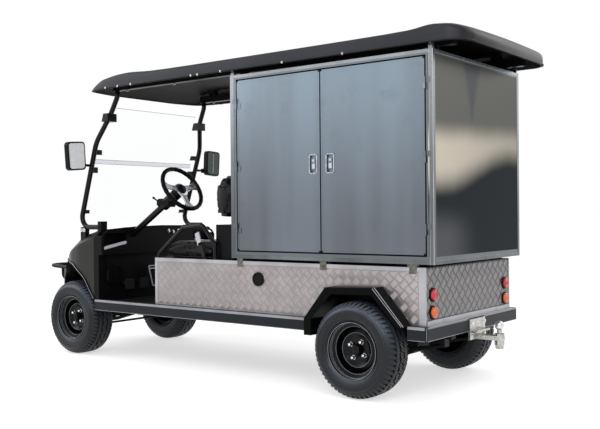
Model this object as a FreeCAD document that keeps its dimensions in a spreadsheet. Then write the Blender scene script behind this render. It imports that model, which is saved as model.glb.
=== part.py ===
import FreeCAD, Part
import math
import os

import Sketcher

os.makedirs("parts", exist_ok=True)
doc = FreeCAD.newDocument("UtilityCart")
sheet = doc.addObject("Spreadsheet::Sheet", "Sizes")
vector = FreeCAD.Vector


# Sizes, each named once in the sheet

class Dim:
    """A length that knows both its number and the sheet expression behind it."""

    def __init__(self, text, value):
        self.text = text
        self.value = float(value)

    def joined(self, sign, other, value):
        return Dim(f"({self.text} {sign} {dim(other).text})", value)

    def __add__(self, other):
        return self.joined("+", other, self.value + dim(other).value)

    def __radd__(self, other):
        return dim(other) + self

    def __sub__(self, other):
        return self.joined("-", other, self.value - dim(other).value)

    def __rsub__(self, other):
        return dim(other) - self

    def __mul__(self, other):
        return self.joined("*", other, self.value * dim(other).value)

    def __rmul__(self, other):
        return dim(other) * self

    def __truediv__(self, other):
        return self.joined("/", other, self.value / dim(other).value)

    def __neg__(self):
        return Dim(f"(0 - {self.text})", -self.value)


def dim(value):
    """Turn a plain number into a Dim; a Dim passes through."""
    if isinstance(value, Dim):
        return value
    return Dim(f"({float(value):.6g})", value)


row = 0


def size(name, value):
    """Put one driving size in the sheet and hand back its Dim."""
    global row
    row += 1
    sheet.set(f"A{row}", name)
    sheet.set(f"B{row}", f"{value:g}")
    sheet.setAlias(f"B{row}", name)
    return Dim(f"Sizes.{name}", value)


# Wheels and steering
rear_axle_x = size("rear_axle_x", -1170)
wheelbase = size("wheelbase", 2468)
front_axle_x = rear_axle_x + wheelbase
tyre_radius = size("tyre_radius", 260)
tyre_width = size("tyre_width", 205)
rear_track = size("rear_half_track", 526)
front_track = size("front_half_track", 436)
rim_radius = size("rim_radius", 152.4)
stud_circle = size("stud_circle_radius", 50.8)
stud_turn = size("first_stud_angle", 31)
kingpin_y = size("kingpin_y", 330)
kingpin_radius = size("kingpin_radius", 10)
steer_arm_back = size("steer_arm_back", 95)
pin_gap = size("pin_gap", 0.3)

# Chassis and lower body
rail_in = size("rail_inner_y", 145)
rail_out = size("rail_outer_y", 195)
rail_low = size("rail_low_z", 300)
rail_top = size("rail_top_z", 370)
rail_back = size("rail_back_x", -1540)
rail_front = size("rail_front_x", 1640)
cross_low = size("cross_low_z", 336)
floor_top = size("floor_top_z", 395)
floor_front = size("floor_front_x", 950)
sill_in = size("sill_inner_y", 500)
sill_out = size("sill_outer_y", 557)
sill_top = size("sill_top_z", 407)
sill_front = size("sill_front_x", 1000)
sill_back = rear_axle_x + 325
bumper_back = size("bumper_back_x", -1591)
bumper_corner = size("bumper_corner_radius", 10)
panel_out = size("panel_outer_y", 516)
skin = size("panel_thickness", 12)
panel_front = size("panel_front_x", 434)
panel_back = size("panel_back_x", -1560)
panel_top = size("panel_top_z", 709)
deck = size("deck_thickness", 10)
flare_out = size("flare_outer_y", 605)

# Cargo box
box_front = size("box_front_x", -250)
box_back = size("box_back_x", -1621)
box_half = size("box_half_width", 530)
box_low = size("box_low_z", 725)
box_top = size("box_top_z", 1822)
box_floor = size("box_floor_thickness", 40)
box_lid = size("box_roof_thickness", 28)
wall = size("box_wall_thickness", 30)
door_thick = size("door_thickness", 28)
door_gap = size("door_gap", 8)
door_split = size("door_split_x", -916)
hinge_out = size("hinge_axis_out", 8)
hinge_radius = size("hinge_radius", 6)

# Cabin
cowl_back = size("cowl_back_x", 1005)
cowl_length = size("cowl_length", 695)
cowl_skin = size("cowl_thickness", 12)
dash_back = size("dash_back_x", 920)
dash_low = size("dash_low_z", 715)
dash_leg_in = size("dash_leg_inner_y", 492)
seat_low = size("seat_low_z", 709)
seat_height = size("seat_cushion_height", 105)
seat_half = size("seat_half_width", 485)
wheel_x = size("steering_wheel_x", 430)
wheel_y = size("steering_wheel_y", 270)
wheel_z = size("steering_wheel_z", 1162)
wheel_radius = size("steering_wheel_radius", 159)
wheel_rim = size("steering_wheel_rim", 15)
column_angle = size("column_angle", 32)
strut_radius = size("strut_radius", 17.5)
roof_back = size("roof_back_x", -1810)
roof_front = size("roof_front_x", 1107)
roof_half = size("roof_half_width", 570)
roof_low = size("roof_low_z", 1845)
roof_depth = size("roof_depth", 92)
roof_skin = size("roof_thickness", 16)
roof_rail_y = size("roof_rail_y", 430)
strut_foot_y = size("strut_foot_y", 504)
glass_half = size("windshield_half_width", 475)
glass_top_half = size("windshield_top_half_width", 412)
glass_thick = size("windshield_thickness", 6)
mirror_x = size("mirror_back_x", 1028)
mirror_in = size("mirror_inner_y", 596)
mirror_wide = size("mirror_width", 155)
mirror_low = size("mirror_low_z", 1290)
mirror_high = size("mirror_height", 205)
guard_front = size("guard_front_x", 1815)
guard_y = size("guard_half_width", 345)
guard_radius = size("guard_tube_radius", 14)
hitch_x = size("hitch_ball_x", -1730)

doc.recompute()


# Helpers that make bound features

def bind(thing, name, length):
    thing.setExpression(name, dim(length).text)


def place(thing, at):
    for letter, length in zip("xyz", at):
        thing.setExpression(f"Placement.Base.{letter}", dim(length).text)
    return thing


def box(name, xs, ys, zs):
    """Block between two values along each axis."""
    block = doc.addObject("Part::Box", name)
    for side, (low, high) in zip(("Length", "Width", "Height"), (xs, ys, zs)):
        bind(block, side, dim(high) - low)
    return place(block, (xs[0], ys[0], zs[0]))


TURNS = {
    "x": FreeCAD.Rotation(vector(0, 1, 0), 90),
    "y": FreeCAD.Rotation(vector(1, 0, 0), -90),
    "z": FreeCAD.Rotation(),
}


def rod(name, axis, at, radius, length):
    """Round bar that starts at a point and runs along +axis."""
    bar = doc.addObject("Part::Cylinder", name)
    bind(bar, "Radius", radius)
    bind(bar, "Height", length)
    bar.Placement = FreeCAD.Placement(vector(), TURNS[axis])
    return place(bar, at)


def fuse(name, parts):
    joined = doc.addObject("Part::MultiFuse", name)
    joined.Shapes = parts
    return joined


def cut(name, base, tool):
    result = doc.addObject("Part::Cut", name)
    result.Base = base
    result.Tool = tool
    return result


def common(name, parts):
    result = doc.addObject("Part::MultiCommon", name)
    result.Shapes = parts
    return result


def group(name, parts):
    """Like pieces of one node that do not touch."""
    result = doc.addObject("Part::Compound", name)
    result.Links = parts
    return result


def mirrored(name, source):
    """The same piece on the other side of the cart."""
    other = doc.addObject("Part::Mirroring", name)
    other.Source = source
    other.Base = vector(0, 0, 0)
    other.Normal = vector(0, 1, 0)
    return other


def both(name, source):
    return group(name, [source, mirrored(name + "_other", source)])


def sketch_on(body, plane, name, points):
    """Closed outline with every corner held by two named distances."""
    sketch = body.newObject("Sketcher::SketchObject", name)
    support = [f for f in body.Origin.OriginFeatures if f.Role == plane][0]
    sketch.AttachmentSupport = [(support, "")]
    sketch.MapMode = "FlatFace"
    corners = [(dim(a), dim(b)) for a, b in points]
    count = len(corners)
    for index in range(count):
        start = corners[index]
        end = corners[(index + 1) % count]
        sketch.addGeometry(Part.LineSegment(vector(start[0].value, start[1].value, 0),
                                            vector(end[0].value, end[1].value, 0)), False)
    for index in range(count):
        sketch.addConstraint(Sketcher.Constraint("Coincident", index, 2, (index + 1) % count, 1))
    for index, corner in enumerate(corners):
        for kind, length in zip(("DistanceX", "DistanceY"), corner):
            made = sketch.addConstraint(
                Sketcher.Constraint(kind, -1, 1, index, 1, length.value))
            sketch.setExpression(f"Constraints[{made}]", length.text)
    return sketch


def plate(name, plane, points, span):
    """Outline padded between two values across its plane."""
    body = doc.addObject("PartDesign::Body", name)
    sketch = sketch_on(body, plane, name + "_outline", points)
    pad = body.newObject("PartDesign::Pad", name + "_pad")
    pad.Profile = sketch
    bind(pad, "Length", dim(span[1]) - span[0])
    body.Tip = pad
    if plane == "XZ_Plane":
        bind(body, "Placement.Base.y", span[1])
    elif plane == "YZ_Plane":
        bind(body, "Placement.Base.x", span[0])
    else:
        bind(body, "Placement.Base.z", span[0])
    return body


def turned(name, points, centre, axis="y"):
    """Outline in (along the axis, radius), turned about the Y or X axis through a point."""
    body = doc.addObject("PartDesign::Body", name)
    plane = {"y": "YZ_Plane", "x": "XY_Plane"}[axis]
    sketch = sketch_on(body, plane, name + "_outline", points)
    spin = body.newObject("PartDesign::Revolution", name + "_turn")
    spin.Profile = sketch
    spin.ReferenceAxis = (sketch, ["H_Axis"])
    spin.Angle = 360
    body.Tip = spin
    place(body, centre)
    return body


def runs_along(axis):
    """Picks straight edges that run along one axis."""
    def pick(edge):
        run = (edge.Vertexes[-1].Point - edge.Vertexes[0].Point)
        return len(edge.Vertexes) == 2 and abs(abs(run[axis]) - run.Length) < 1e-6
    return pick


def rounded(body, name, radius, pick):
    """Fillet on those edges of a body's last feature that pick chooses."""
    doc.recompute()
    base = body.Tip
    names = [f"Edge{n + 1}" for n, edge in enumerate(base.Shape.Edges) if pick(edge)]
    fillet = body.newObject("PartDesign::Fillet", name)
    fillet.Base = (base, names)
    bind(fillet, "Radius", radius)
    body.Tip = fillet
    return body


def loft(name, sections):
    """Ruled skin through outlines across the cart at growing x."""
    body = doc.addObject("PartDesign::Body", name)
    outlines = []
    for number, (at, points) in enumerate(sections):
        sketch = sketch_on(body, "YZ_Plane", f"{name}_section{number}", points)
        sketch.setExpression("AttachmentOffset.Base.z", dim(at).text)
        outlines.append(sketch)
    skin_feature = body.newObject("PartDesign::AdditiveLoft", name + "_loft")
    skin_feature.Profile = outlines[0]
    skin_feature.Sections = outlines[1:]
    skin_feature.Ruled = True
    body.Tip = skin_feature
    return body


def bent(name, points, radius, bends):
    """Round tube along a bent line; each corner is rounded by its own bend radius."""
    corners = [vector(*[dim(c).value for c in point]) for point in points]
    if not isinstance(bends, list):
        bends = [bends] * (len(corners) - 2)
    edges = []
    start = corners[0]
    for index, bend in enumerate(bends, 1):
        bend = dim(bend).value
        before = (corners[index - 1] - corners[index]).normalize()
        after = (corners[index + 1] - corners[index]).normalize()
        half = before.getAngle(after) / 2
        reach = bend / math.tan(half)
        middle = (before + after).normalize()
        leave = corners[index] + before * reach
        join = corners[index] + after * reach
        hub = corners[index] + middle * (bend / math.sin(half))
        edges.append(Part.LineSegment(start, leave).toShape())
        edges.append(Part.Arc(leave, hub - middle * bend, join).toShape())
        start = join
    edges.append(Part.LineSegment(start, corners[-1]).toShape())
    wire = Part.Wire(edges)
    ring = Part.Wire([Part.Circle(corners[0], corners[1] - corners[0], dim(radius).value).toShape()])
    tube = doc.addObject("Part::Feature", name)
    tube.Shape = wire.makePipeShell([ring], True, True)
    return tube


nodes = []


def node(name, thing):
    """Name a finished sub-part; its file takes the same name."""
    thing.Label = name
    nodes.append((name, thing))
    return thing


# Chassis frame: two rails, crossbars to the sills
rails = []
for side, (low, high) in enumerate(((rail_in, rail_out), (-rail_out, -rail_in))):
    rails.append(box(f"rail_{side}", (rail_back, rail_front), (low, high), (rail_low, rail_top)))
for number, at in enumerate((-1530, -880, -100, 430, 900)):
    rails.append(box(f"crossbar_{number}", (at, dim(at) + 45), (-sill_in, sill_in),
                     (cross_low, rail_top)))
rails.append(box("front_crossbar", (rail_front - 50, rail_front), (-rail_out, rail_out),
                 (cross_low, rail_top)))
node("chassis_frame", fuse("chassis_frame", rails))

# Rear axle, motor and springs
axle_height = tyre_radius
housing = [
    rod("axle_tube", "y", (rear_axle_x, -400, axle_height), 34, 800),
    rod("differential", "y", (rear_axle_x, -70, axle_height), 95, 140),
    rod("brake_plate_left", "y", (rear_axle_x, 385, axle_height), 96, 10),
    rod("brake_plate_right", "y", (rear_axle_x, -395, axle_height), 96, 10),
    rod("rear_stub_left", "y", (rear_axle_x, 395, axle_height), 14, 140),
    rod("rear_stub_right", "y", (rear_axle_x, -535, axle_height), 14, 140),
    box("pinion_case", (rear_axle_x, rear_axle_x + 150), (-60, 60),
        (axle_height - 45, axle_height + 45)),
]
node("rear_axle", fuse("rear_axle", housing))
motor = fuse("motor", [rod("motor_can", "x", (rear_axle_x + 150, 0, axle_height - 15), 80, 230),
                       rod("motor_cap", "x", (rear_axle_x + 380, 0, axle_height - 15), 58, 20)])
node("drive_motor", motor)


def leaf_spring(name, centre_x, ys, half, seat):
    """Arched leaf pack under or over an axle with hangers up to the rail."""
    eye = seat + 42
    outline = [(centre_x - half, eye), (centre_x - half, eye - 14), (centre_x - 60, seat - 24),
               (centre_x + 60, seat - 24), (centre_x + half, eye - 14), (centre_x + half, eye),
               (centre_x + 60, seat), (centre_x - 60, seat)]
    leaf = plate(name + "_leaf", "XZ_Plane", outline, ys)
    hangers = [leaf]
    for end, along in enumerate((centre_x - half, centre_x + half - 16)):
        hangers.append(box(f"{name}_hanger{end}", (along, along + 16), ys, (eye - 14, rail_low)))
    return fuse(name, hangers)


rear_spring_seat = axle_height - 34
rear_spring = leaf_spring("rear_spring", rear_axle_x, (rail_in, rail_out), dim(330),
                          rear_spring_seat)
front_beam_low = size("front_beam_low_z", 232)
front_beam_top = size("front_beam_top_z", 272)
front_spring = leaf_spring("front_spring", front_axle_x, (rail_in, rail_out), dim(250),
                           front_beam_low)
node("leaf_springs", group("leaf_springs", [rear_spring,
                                            mirrored("rear_spring_other", rear_spring),
                                            front_spring,
                                            mirrored("front_spring_other", front_spring)]))

# Front axle beam with a fork for each kingpin
yoke_low = size("yoke_low_z", 205)
yoke_high = size("yoke_high_z", 315)
yoke_plate = size("yoke_plate", 14)
beam = [box("beam", (front_axle_x - 25, front_axle_x + 25), (-298, 298),
            (front_beam_low, front_beam_top))]
for side, sign in enumerate((1, -1)):
    inner = sorted((sign * 286, sign * 298))
    outer = sorted((sign * 286, sign * 350))
    beam.append(box(f"yoke_web{side}", (front_axle_x - 25, front_axle_x + 25), inner,
                    (yoke_low, yoke_high)))
    beam.append(box(f"yoke_foot{side}", (front_axle_x - 25, front_axle_x + 25), outer,
                    (yoke_low - yoke_plate, yoke_low)))
    beam.append(box(f"yoke_head{side}", (front_axle_x - 25, front_axle_x + 25), outer,
                    (yoke_high, yoke_high + yoke_plate)))
beam_solid = fuse("beam_solid", beam)
bores = fuse("kingpin_bores", [
    rod(f"kingpin_bore{side}", "z", (front_axle_x, sign * kingpin_y, 150),
        kingpin_radius + pin_gap, 220) for side, sign in enumerate((1, -1))])
node("front_axle", cut("front_axle", beam_solid, bores))

# Steered knuckles
knuckle_gap = size("knuckle_gap", 6)


def knuckle(name, sign):
    """Upright, kingpin, stub and steering arm of one side."""
    pin_at = kingpin_y * sign
    upright = sorted((sign * 312, sign * 348))
    stub_start = 346 if sign > 0 else -466
    arm_back = front_axle_x - steer_arm_back
    arm = plate(name + "_arm", "XY_Plane",
                [(front_axle_x, pin_at - 10), (front_axle_x, pin_at + 10),
                 (arm_back, pin_at + 10), (arm_back - 10, pin_at), (arm_back, pin_at - 10)],
                (yoke_low + knuckle_gap, yoke_low + knuckle_gap + 12))
    pieces = [
        box(name + "_upright", (front_axle_x - 18, front_axle_x + 18), upright,
            (yoke_low + knuckle_gap, yoke_high - knuckle_gap)),
        rod(name + "_pin", "z", (front_axle_x, pin_at, yoke_low - yoke_plate - 8),
            kingpin_radius, yoke_high - yoke_low + 2 * yoke_plate + 16),
        rod(name + "_stub", "y", (front_axle_x, stub_start, tyre_radius), 14, 120),
        arm,
        rod(name + "_ball", "z", (arm_back, pin_at, yoke_low + knuckle_gap - 28), 7, 30),
    ]
    return fuse(name, pieces)


node("knuckle_left", knuckle("knuckle_left", 1))
node("knuckle_right", knuckle("knuckle_right", -1))

# Tie rod, pinned on the left and open by a clearance on the right
tie_z = yoke_low + knuckle_gap - 9 - pin_gap
tie_y = kingpin_y
tie_x = front_axle_x - steer_arm_back
tie_body = fuse("tie_body", [
    rod("tie_bar", "y", (tie_x, -(tie_y - 12), tie_z), 8, 2 * (tie_y - 12)),
    rod("tie_eye_left", "z", (tie_x, tie_y, tie_z - 9), 16, 18),
    rod("tie_eye_right", "z", (tie_x, -tie_y, tie_z - 9), 16, 18)])
tie_bores = fuse("tie_bores", [
    rod("tie_bore_left", "z", (tie_x, tie_y, tie_z - 20), dim(7) + pin_gap, 40),
    rod("tie_bore_right", "z", (tie_x, -tie_y, tie_z - 20), dim(7) + pin_gap, 40)])
node("tie_rod", cut("tie_rod", tie_body, tie_bores))

# Wheels: tyre and steel rim, turned about the axle
half_tyre = tyre_width / 2
bead = rim_radius + 2


def tyre(name, centre):
    """Hollow carcass: bead, bulging sidewall, rounded shoulder and tread."""
    outer = [(half_tyre - 50, tyre_radius), (half_tyre - 14, tyre_radius - 10),
             (half_tyre - 2, tyre_radius - 38), (half_tyre, rim_radius + 52),
             (half_tyre - 20, bead)]
    inner = [(half_tyre - 28, bead - 2), (half_tyre - 24, rim_radius + 50),
             (half_tyre - 60, tyre_radius - 22)]
    left = [(-dim(a), r) for a, r in outer]
    left_in = [(-dim(a), r) for a, r in inner]
    outline = left[::-1] + outer + inner + left_in[::-1]
    return turned(name, outline, centre)


def rim(name, centre, out):
    """Pressed steel rim with disc, hub, drum and lug nuts; out is the outer side."""
    sign = 1 if out > 0 else -1
    lip = half_tyre - 12
    disc = 22 * sign
    barrel = [(-lip, rim_radius), (-lip + 34, rim_radius), (-lip + 44, rim_radius - 22),
              (lip - 44, rim_radius - 22), (lip - 34, rim_radius), (lip, rim_radius),
              (lip, rim_radius - 4), (lip - 32, rim_radius - 5), (lip - 42, rim_radius - 28),
              (-lip + 42, rim_radius - 28), (-lip + 32, rim_radius - 5), (-lip, rim_radius - 4)]
    pieces = [turned(name + "_barrel", barrel, centre)]
    outer = [(disc + 24 * sign, 0), (disc + 24 * sign, 30), (disc + 4 * sign, 36),
             (disc + 4 * sign, 72), (disc + 16 * sign, 92), (disc + 8 * sign, 112),
             (disc, rim_radius - 26), (disc - 8 * sign, rim_radius - 26), (disc, 108),
             (disc + 8 * sign, 92), (disc - 4 * sign, 74), (disc - 4 * sign, 60),
             (disc - 50 * sign, 60), (disc - 50 * sign, 0)]
    pieces.append(turned(name + "_disc", outer, centre))
    drum = [(disc - 40 * sign, 16), (disc - 40 * sign, 92), (disc - 100 * sign, 92),
            (disc - 100 * sign, 84), (disc - 60 * sign, 84), (disc - 60 * sign, 16)]
    pieces.append(turned(name + "_drum", drum, centre))
    for number in range(4):
        turn = math.radians(stud_turn.value + 90 * number)
        start = centre[1] + (disc + 2 * sign if sign > 0 else dim(disc - 20))
        pieces.append(rod(f"{name}_lug{number}", "y",
                          (centre[0] + stud_circle * round(math.cos(turn), 6), start,
                           centre[2] + stud_circle * round(math.sin(turn), 6)), 10, 18))
    whole = fuse(name + "_whole", pieces)
    low = disc - 120 if sign > 0 else disc - 12
    bore = rod(name + "_bore", "y", (centre[0], centre[1] + low, centre[2]), 14 + pin_gap, 132)
    return cut(name, whole, bore)


wheels = {
    "front_left": (front_axle_x, front_track, 1),
    "front_right": (front_axle_x, -front_track, -1),
    "rear_left": (rear_axle_x, rear_track, 1),
    "rear_right": (rear_axle_x, -rear_track, -1),
}
for corner, (along, across, out) in wheels.items():
    centre = (along, across, tyre_radius)
    node(f"tyre_{corner}", tyre(f"tyre_{corner}", centre))
    node(f"rim_{corner}", rim(f"rim_{corner}", centre, out))

# Floor, sills and rear bumper
node("floor_plate", box("floor_plate", (sill_back, floor_front), (-sill_in, sill_in),
                        (rail_top, floor_top)))
sill = box("sill", (sill_back, sill_front), (sill_in, sill_out), (cross_low, sill_top))
node("side_sills", both("side_sills", sill))
bumper_arm = rear_axle_x - 306
bumper_plan = [(bumper_back, -sill_out), (bumper_arm, -sill_out), (bumper_arm, -sill_in),
               (rail_back, -sill_in), (rail_back, sill_in), (bumper_arm, sill_in),
               (bumper_arm, sill_out), (bumper_back, sill_out)]
bumper = plate("rear_bumper", "XY_Plane", bumper_plan, (cross_low, sill_top))
node("rear_bumper", rounded(bumper, "bumper_corners", bumper_corner, lambda e: runs_along(2)(e)
                            and e.CenterOfMass.x < bumper_back.value + 1))

# Rear wheel arches


def from_axle(points):
    return [(rear_axle_x + along, height) for along, height in points]


arch_outer = from_axle([(323, 320), (323, 411), (178, 590), (-137, 601), (-312, 407)])
arch_inner = from_axle([(-270, 407), (-120, 561), (140, 554), (275, 411)])
flare = plate("flare", "XZ_Plane", arch_outer + arch_inner + from_axle([(275, 320)]),
              (panel_out - skin, flare_out))
liner_outer = from_axle([(281, 407), (281, 413), (144, 561), (-123, 568), (-277, 407)])
liner = plate("liner", "XZ_Plane", liner_outer + arch_inner + from_axle([(275, 407)]),
              (395, panel_out - skin))
liner_wall = plate("liner_wall", "XZ_Plane", liner_outer, (389, 395))
arch = fuse("arch", [flare, liner, liner_wall])
node("rear_arches", both("rear_arches", arch))

# Side, rear and front body panels, deck
side_panel = plate("side_panel", "XZ_Plane",
                   [(panel_back, sill_top), (panel_back, panel_top), (panel_front, panel_top),
                    (panel_front, sill_top), (sill_back, sill_top)] + arch_outer[1:4]
                   + [(rear_axle_x - 312, sill_top)],
                   (panel_out - skin, panel_out))
node("side_panels", both("side_panels", side_panel))
rear_sheet = box("rear_sheet", (panel_back, panel_back + skin),
                 (-(panel_out - skin), panel_out - skin), (sill_top, panel_top - deck))
foot_strip = box("foot_strip", (panel_back - 4, panel_back), (-(panel_out - skin), panel_out - skin),
                 (sill_top, sill_top + 26))
node("rear_panel", fuse("rear_panel", [rear_sheet, foot_strip]))
inner = panel_out - skin
base_step = [(-sill_in, floor_top), (sill_in, floor_top), (sill_in, sill_top), (inner, sill_top),
             (inner, panel_top - deck), (-inner, panel_top - deck), (-inner, sill_top),
             (-sill_in, sill_top)]
node("seat_base", plate("seat_base", "YZ_Plane", base_step, (panel_front - skin, panel_front)))
node("deck_plate", box("deck_plate", (panel_back, panel_front),
                       (-(panel_out - skin), panel_out - skin), (panel_top - deck, panel_top)))
node("battery_pack", box("battery_pack", (-40, 380), (-400, 400), (floor_top, 660)))

# Cargo box shell
node("cargo_floor", box("cargo_floor", (box_back, box_front), (-box_half, box_half),
                        (box_low, box_low + box_floor)))
node("cargo_roof", box("cargo_roof", (box_back, box_front), (-box_half, box_half),
                       (box_top - box_lid, box_top)))
inside = (box_low + box_floor, box_top - box_lid)
node("cargo_front", box("cargo_front", (box_front - wall, box_front), (-box_half, box_half),
                        inside))
node("cargo_rear", box("cargo_rear", (box_back, box_back + wall), (-box_half, box_half), inside))
post = box_half - wall
posts = []
for side, ys in enumerate(((post, box_half), (-box_half, -post))):
    posts.append(box(f"front_post{side}", (box_front - wall - 14, box_front - wall), ys, inside))
    posts.append(box(f"rear_post{side}", (box_back + wall, box_back + wall + 10), ys, inside))
hinge_front = box_front - wall - 14 - door_gap / 2
hinge_back = box_back + wall + 10 + door_gap / 2
hinge_heights = (905, 1275, 1650)


def hinge_half(name, axis_x, side, lift, toward):
    """Barrel and leaf of one hinge half; toward is +1 for the front side of the axis."""
    barrels = []
    axis_y = (box_half + hinge_out) * side
    leaf_y = sorted((side * (box_half.value), side * (box_half.value + 3)))
    for number, height in enumerate(hinge_heights):
        low = height + 0.15 if lift else height - 30.15
        barrels.append(rod(f"{name}_barrel{number}", "z", (axis_x, axis_y, low),
                           hinge_radius, 30))
        near = axis_x + toward
        far = axis_x + toward * 30
        xs = (near, far) if toward > 0 else (far, near)
        ys = (box_half, box_half + 3) if side > 0 else (-(box_half + 3), -box_half)
        barrels.append(box(f"{name}_leaf{number}", xs, ys, (low, low + 30)))
    return barrels


frame_parts = list(posts)
for side in (1, -1):
    tag = "left" if side > 0 else "right"
    frame_parts += hinge_half(f"frame_front_{tag}", hinge_front, side, True, 1)
    frame_parts += hinge_half(f"frame_rear_{tag}", hinge_back, side, True, -1)
node("cargo_frame", fuse("cargo_frame", frame_parts))

feet = []
for number, along in enumerate((-298, -914, -1475)):
    for side in (1, -1):
        ys = (470, 504) if side > 0 else (-504, -470)
        feet.append(box(f"foot{number}_{side + 1}", (along - 25, along + 25), ys,
                        (panel_top, box_low)))
node("cargo_feet", group("cargo_feet", feet))

# Cargo doors, each with hinge halves and a flush latch
door_low = box_low + box_floor + door_gap
door_high = box_top - box_lid - door_gap


def door(name, xs, axis_x, side, toward, latch_x):
    ys = (box_half - door_thick, box_half) if side > 0 else (-box_half, -(box_half - door_thick))
    panel = box(name + "_panel", xs, ys, (door_low, door_high))
    pan_ys = (box_half - 12, box_half + 5) if side > 0 else (-(box_half + 5), -(box_half - 12))
    pan = box(name + "_pan", (latch_x - 24, latch_x + 24), pan_ys, (1215, 1317))
    holed = cut(name + "_holed", panel, pan)
    grip_ys = (box_half - 14, box_half - 3) if side > 0 else (-(box_half - 3), -(box_half - 14))
    grip = box(name + "_grip", (latch_x - 14, latch_x + 14), grip_ys, (1235, 1300))
    pieces = [holed, grip] + hinge_half(name + "_hinge", axis_x, side, False, toward)
    return fuse(name, pieces)


seam = door_gap / 2
for side, tag in ((1, "left"), (-1, "right")):
    node(f"door_{tag}_front",
         door(f"door_{tag}_front", (door_split + seam, hinge_front - seam), hinge_front, side, -1,
              door_split + 50))
    node(f"door_{tag}_rear",
         door(f"door_{tag}_rear", (hinge_back + seam, door_split - seam), hinge_back, side, 1,
              door_split - 65))

# Front cowl: a ruled skin, hollow, with the arches cut out


def slice_at(at, top, shoulder, side, low):
    """One cross outline of a ruled skin: crown height, shoulder and side points, lower edge."""
    return at, (top, shoulder, side, low)


def half_outline(sizes, inset):
    """Closed outline of a slice, drawn inwards by an inset."""
    top, (shoulder_y, shoulder_z), (side_y, side_z), low = sizes
    right = [(dim(side_y) - inset, dim(low) + inset), (dim(side_y) - inset, side_z),
             (dim(shoulder_y) - inset / 2, dim(shoulder_z) - inset)]
    left = [(-y, z) for y, z in reversed(right)]
    return right + [(0, dim(top) - inset)] + left


def skin_loft(name, slices, inset, start, end):
    """Ruled solid through slices drawn inwards; start and end move its two end faces."""
    shifts = [start] + [0] * (len(slices) - 2) + [end]
    return loft(name, [(dim(at) + shift, half_outline(sizes, inset))
                       for (at, sizes), shift in zip(slices, shifts)])


cowl_side = sill_out
cowl_nose = cowl_back + cowl_length
cowl_slices = [
    slice_at(cowl_back, 905, (500, 885), (cowl_side, 835), sill_top),
    slice_at(cowl_back + 175, 893, (490, 845), (cowl_side, 780), sill_top),
    slice_at(cowl_back + 285, 872, (455, 805), (cowl_side - 22, 735), sill_top),
    slice_at(cowl_back + 385, 838, (400, 768), (cowl_side - 85, 702), 560),
    slice_at(cowl_back + 485, 795, (330, 738), (cowl_side - 160, 682), 640),
    slice_at(cowl_nose - 100, 745, (262, 706), (cowl_side - 243, 655), 615),
    slice_at(cowl_nose, 690, (205, 660), (cowl_side - 322, 628), 590),
]
arch_edge = [(1004, sill_top), (1050, 467), (1104, 540), (1176, 595), (1265, 644), (1390, 660),
             (1470, 664)]
arch_front = [(1560, 590), (1655, 520)]
cowl_outer = skin_loft("cowl_outer", cowl_slices, 0, 0, 0)
cowl_hollow = skin_loft("cowl_hollow", cowl_slices, cowl_skin, -5, -cowl_skin)
kick = floor_front + 12
cowl_reach = skin_loft("cowl_reach", cowl_slices, cowl_skin, kick - cowl_back, -cowl_skin)


def arch_space(name, grow, low):
    """Room for the steered wheels: mouth at the skin, pocket behind it, deep pocket by the floor."""
    mouth_line = [(dim(along) - grow * 0.6, height + grow) for along, height in arch_edge[1:]]
    front_line = [(along + grow * 0.6, height + grow * 0.8) for along, height in arch_front]
    front_line.append((arch_front[-1][0] + grow, low))
    mouth = [(arch_edge[0][0] - grow, low), (arch_edge[0][0] - grow, sill_top)]
    mouth += mouth_line + front_line
    pocket = [(cowl_back + 2, low), (cowl_back + 2, 515 + grow)] + mouth_line[3:] + front_line
    deep = [(kick, low), (kick, 440 + grow), (1060, 545 + grow)] + mouth_line[3:] + front_line
    pieces = []
    for side, sign in enumerate((1, -1)):
        for part, line, ends in (("mouth", mouth, (525, 620)),
                                 ("pocket", pocket, (480, 532 + grow)),
                                 ("deep", deep, (198 - grow * 0.8, dash_leg_in - 2))):
            ys = ends if sign > 0 else (-dim(ends[1]), -dim(ends[0]))
            pieces.append(plate(f"{name}_{part}{side}", "XZ_Plane", line, ys))
    return fuse(name, pieces)


cowl_shell = cut("cowl_shell", cowl_outer, cowl_hollow)
arch_wide = arch_space("arch_wide", 10, 280)
node("front_cowl", cut("front_cowl", cowl_shell, arch_wide))
liner_block = cut("liner_block", arch_space("arch_liner", 10, 281), arch_space("arch_open", 0, 270))
liners = common("liners", [liner_block, cowl_reach])

# Fender lips: a band along each arch edge, standing proud of the cowl
lip_proud = size("fender_lip_proud", 7)
lip_width = size("fender_lip_width", 15)
band = [(dim(along) - lip_width * 0.6, height + lip_width) for along, height in arch_edge[1:]]
band_line = [(arch_edge[0][0] - lip_width, sill_top)] + band
lip_band = plate("lip_band", "XZ_Plane", band_line + arch_edge[::-1], (380, 620))
lip_block = common("lip_block", [lip_band, skin_loft("cowl_proud", cowl_slices, -lip_proud, 0, 0)])
node("fender_lips", both("fender_lips", cut("lip", lip_block, cowl_outer)))

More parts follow.
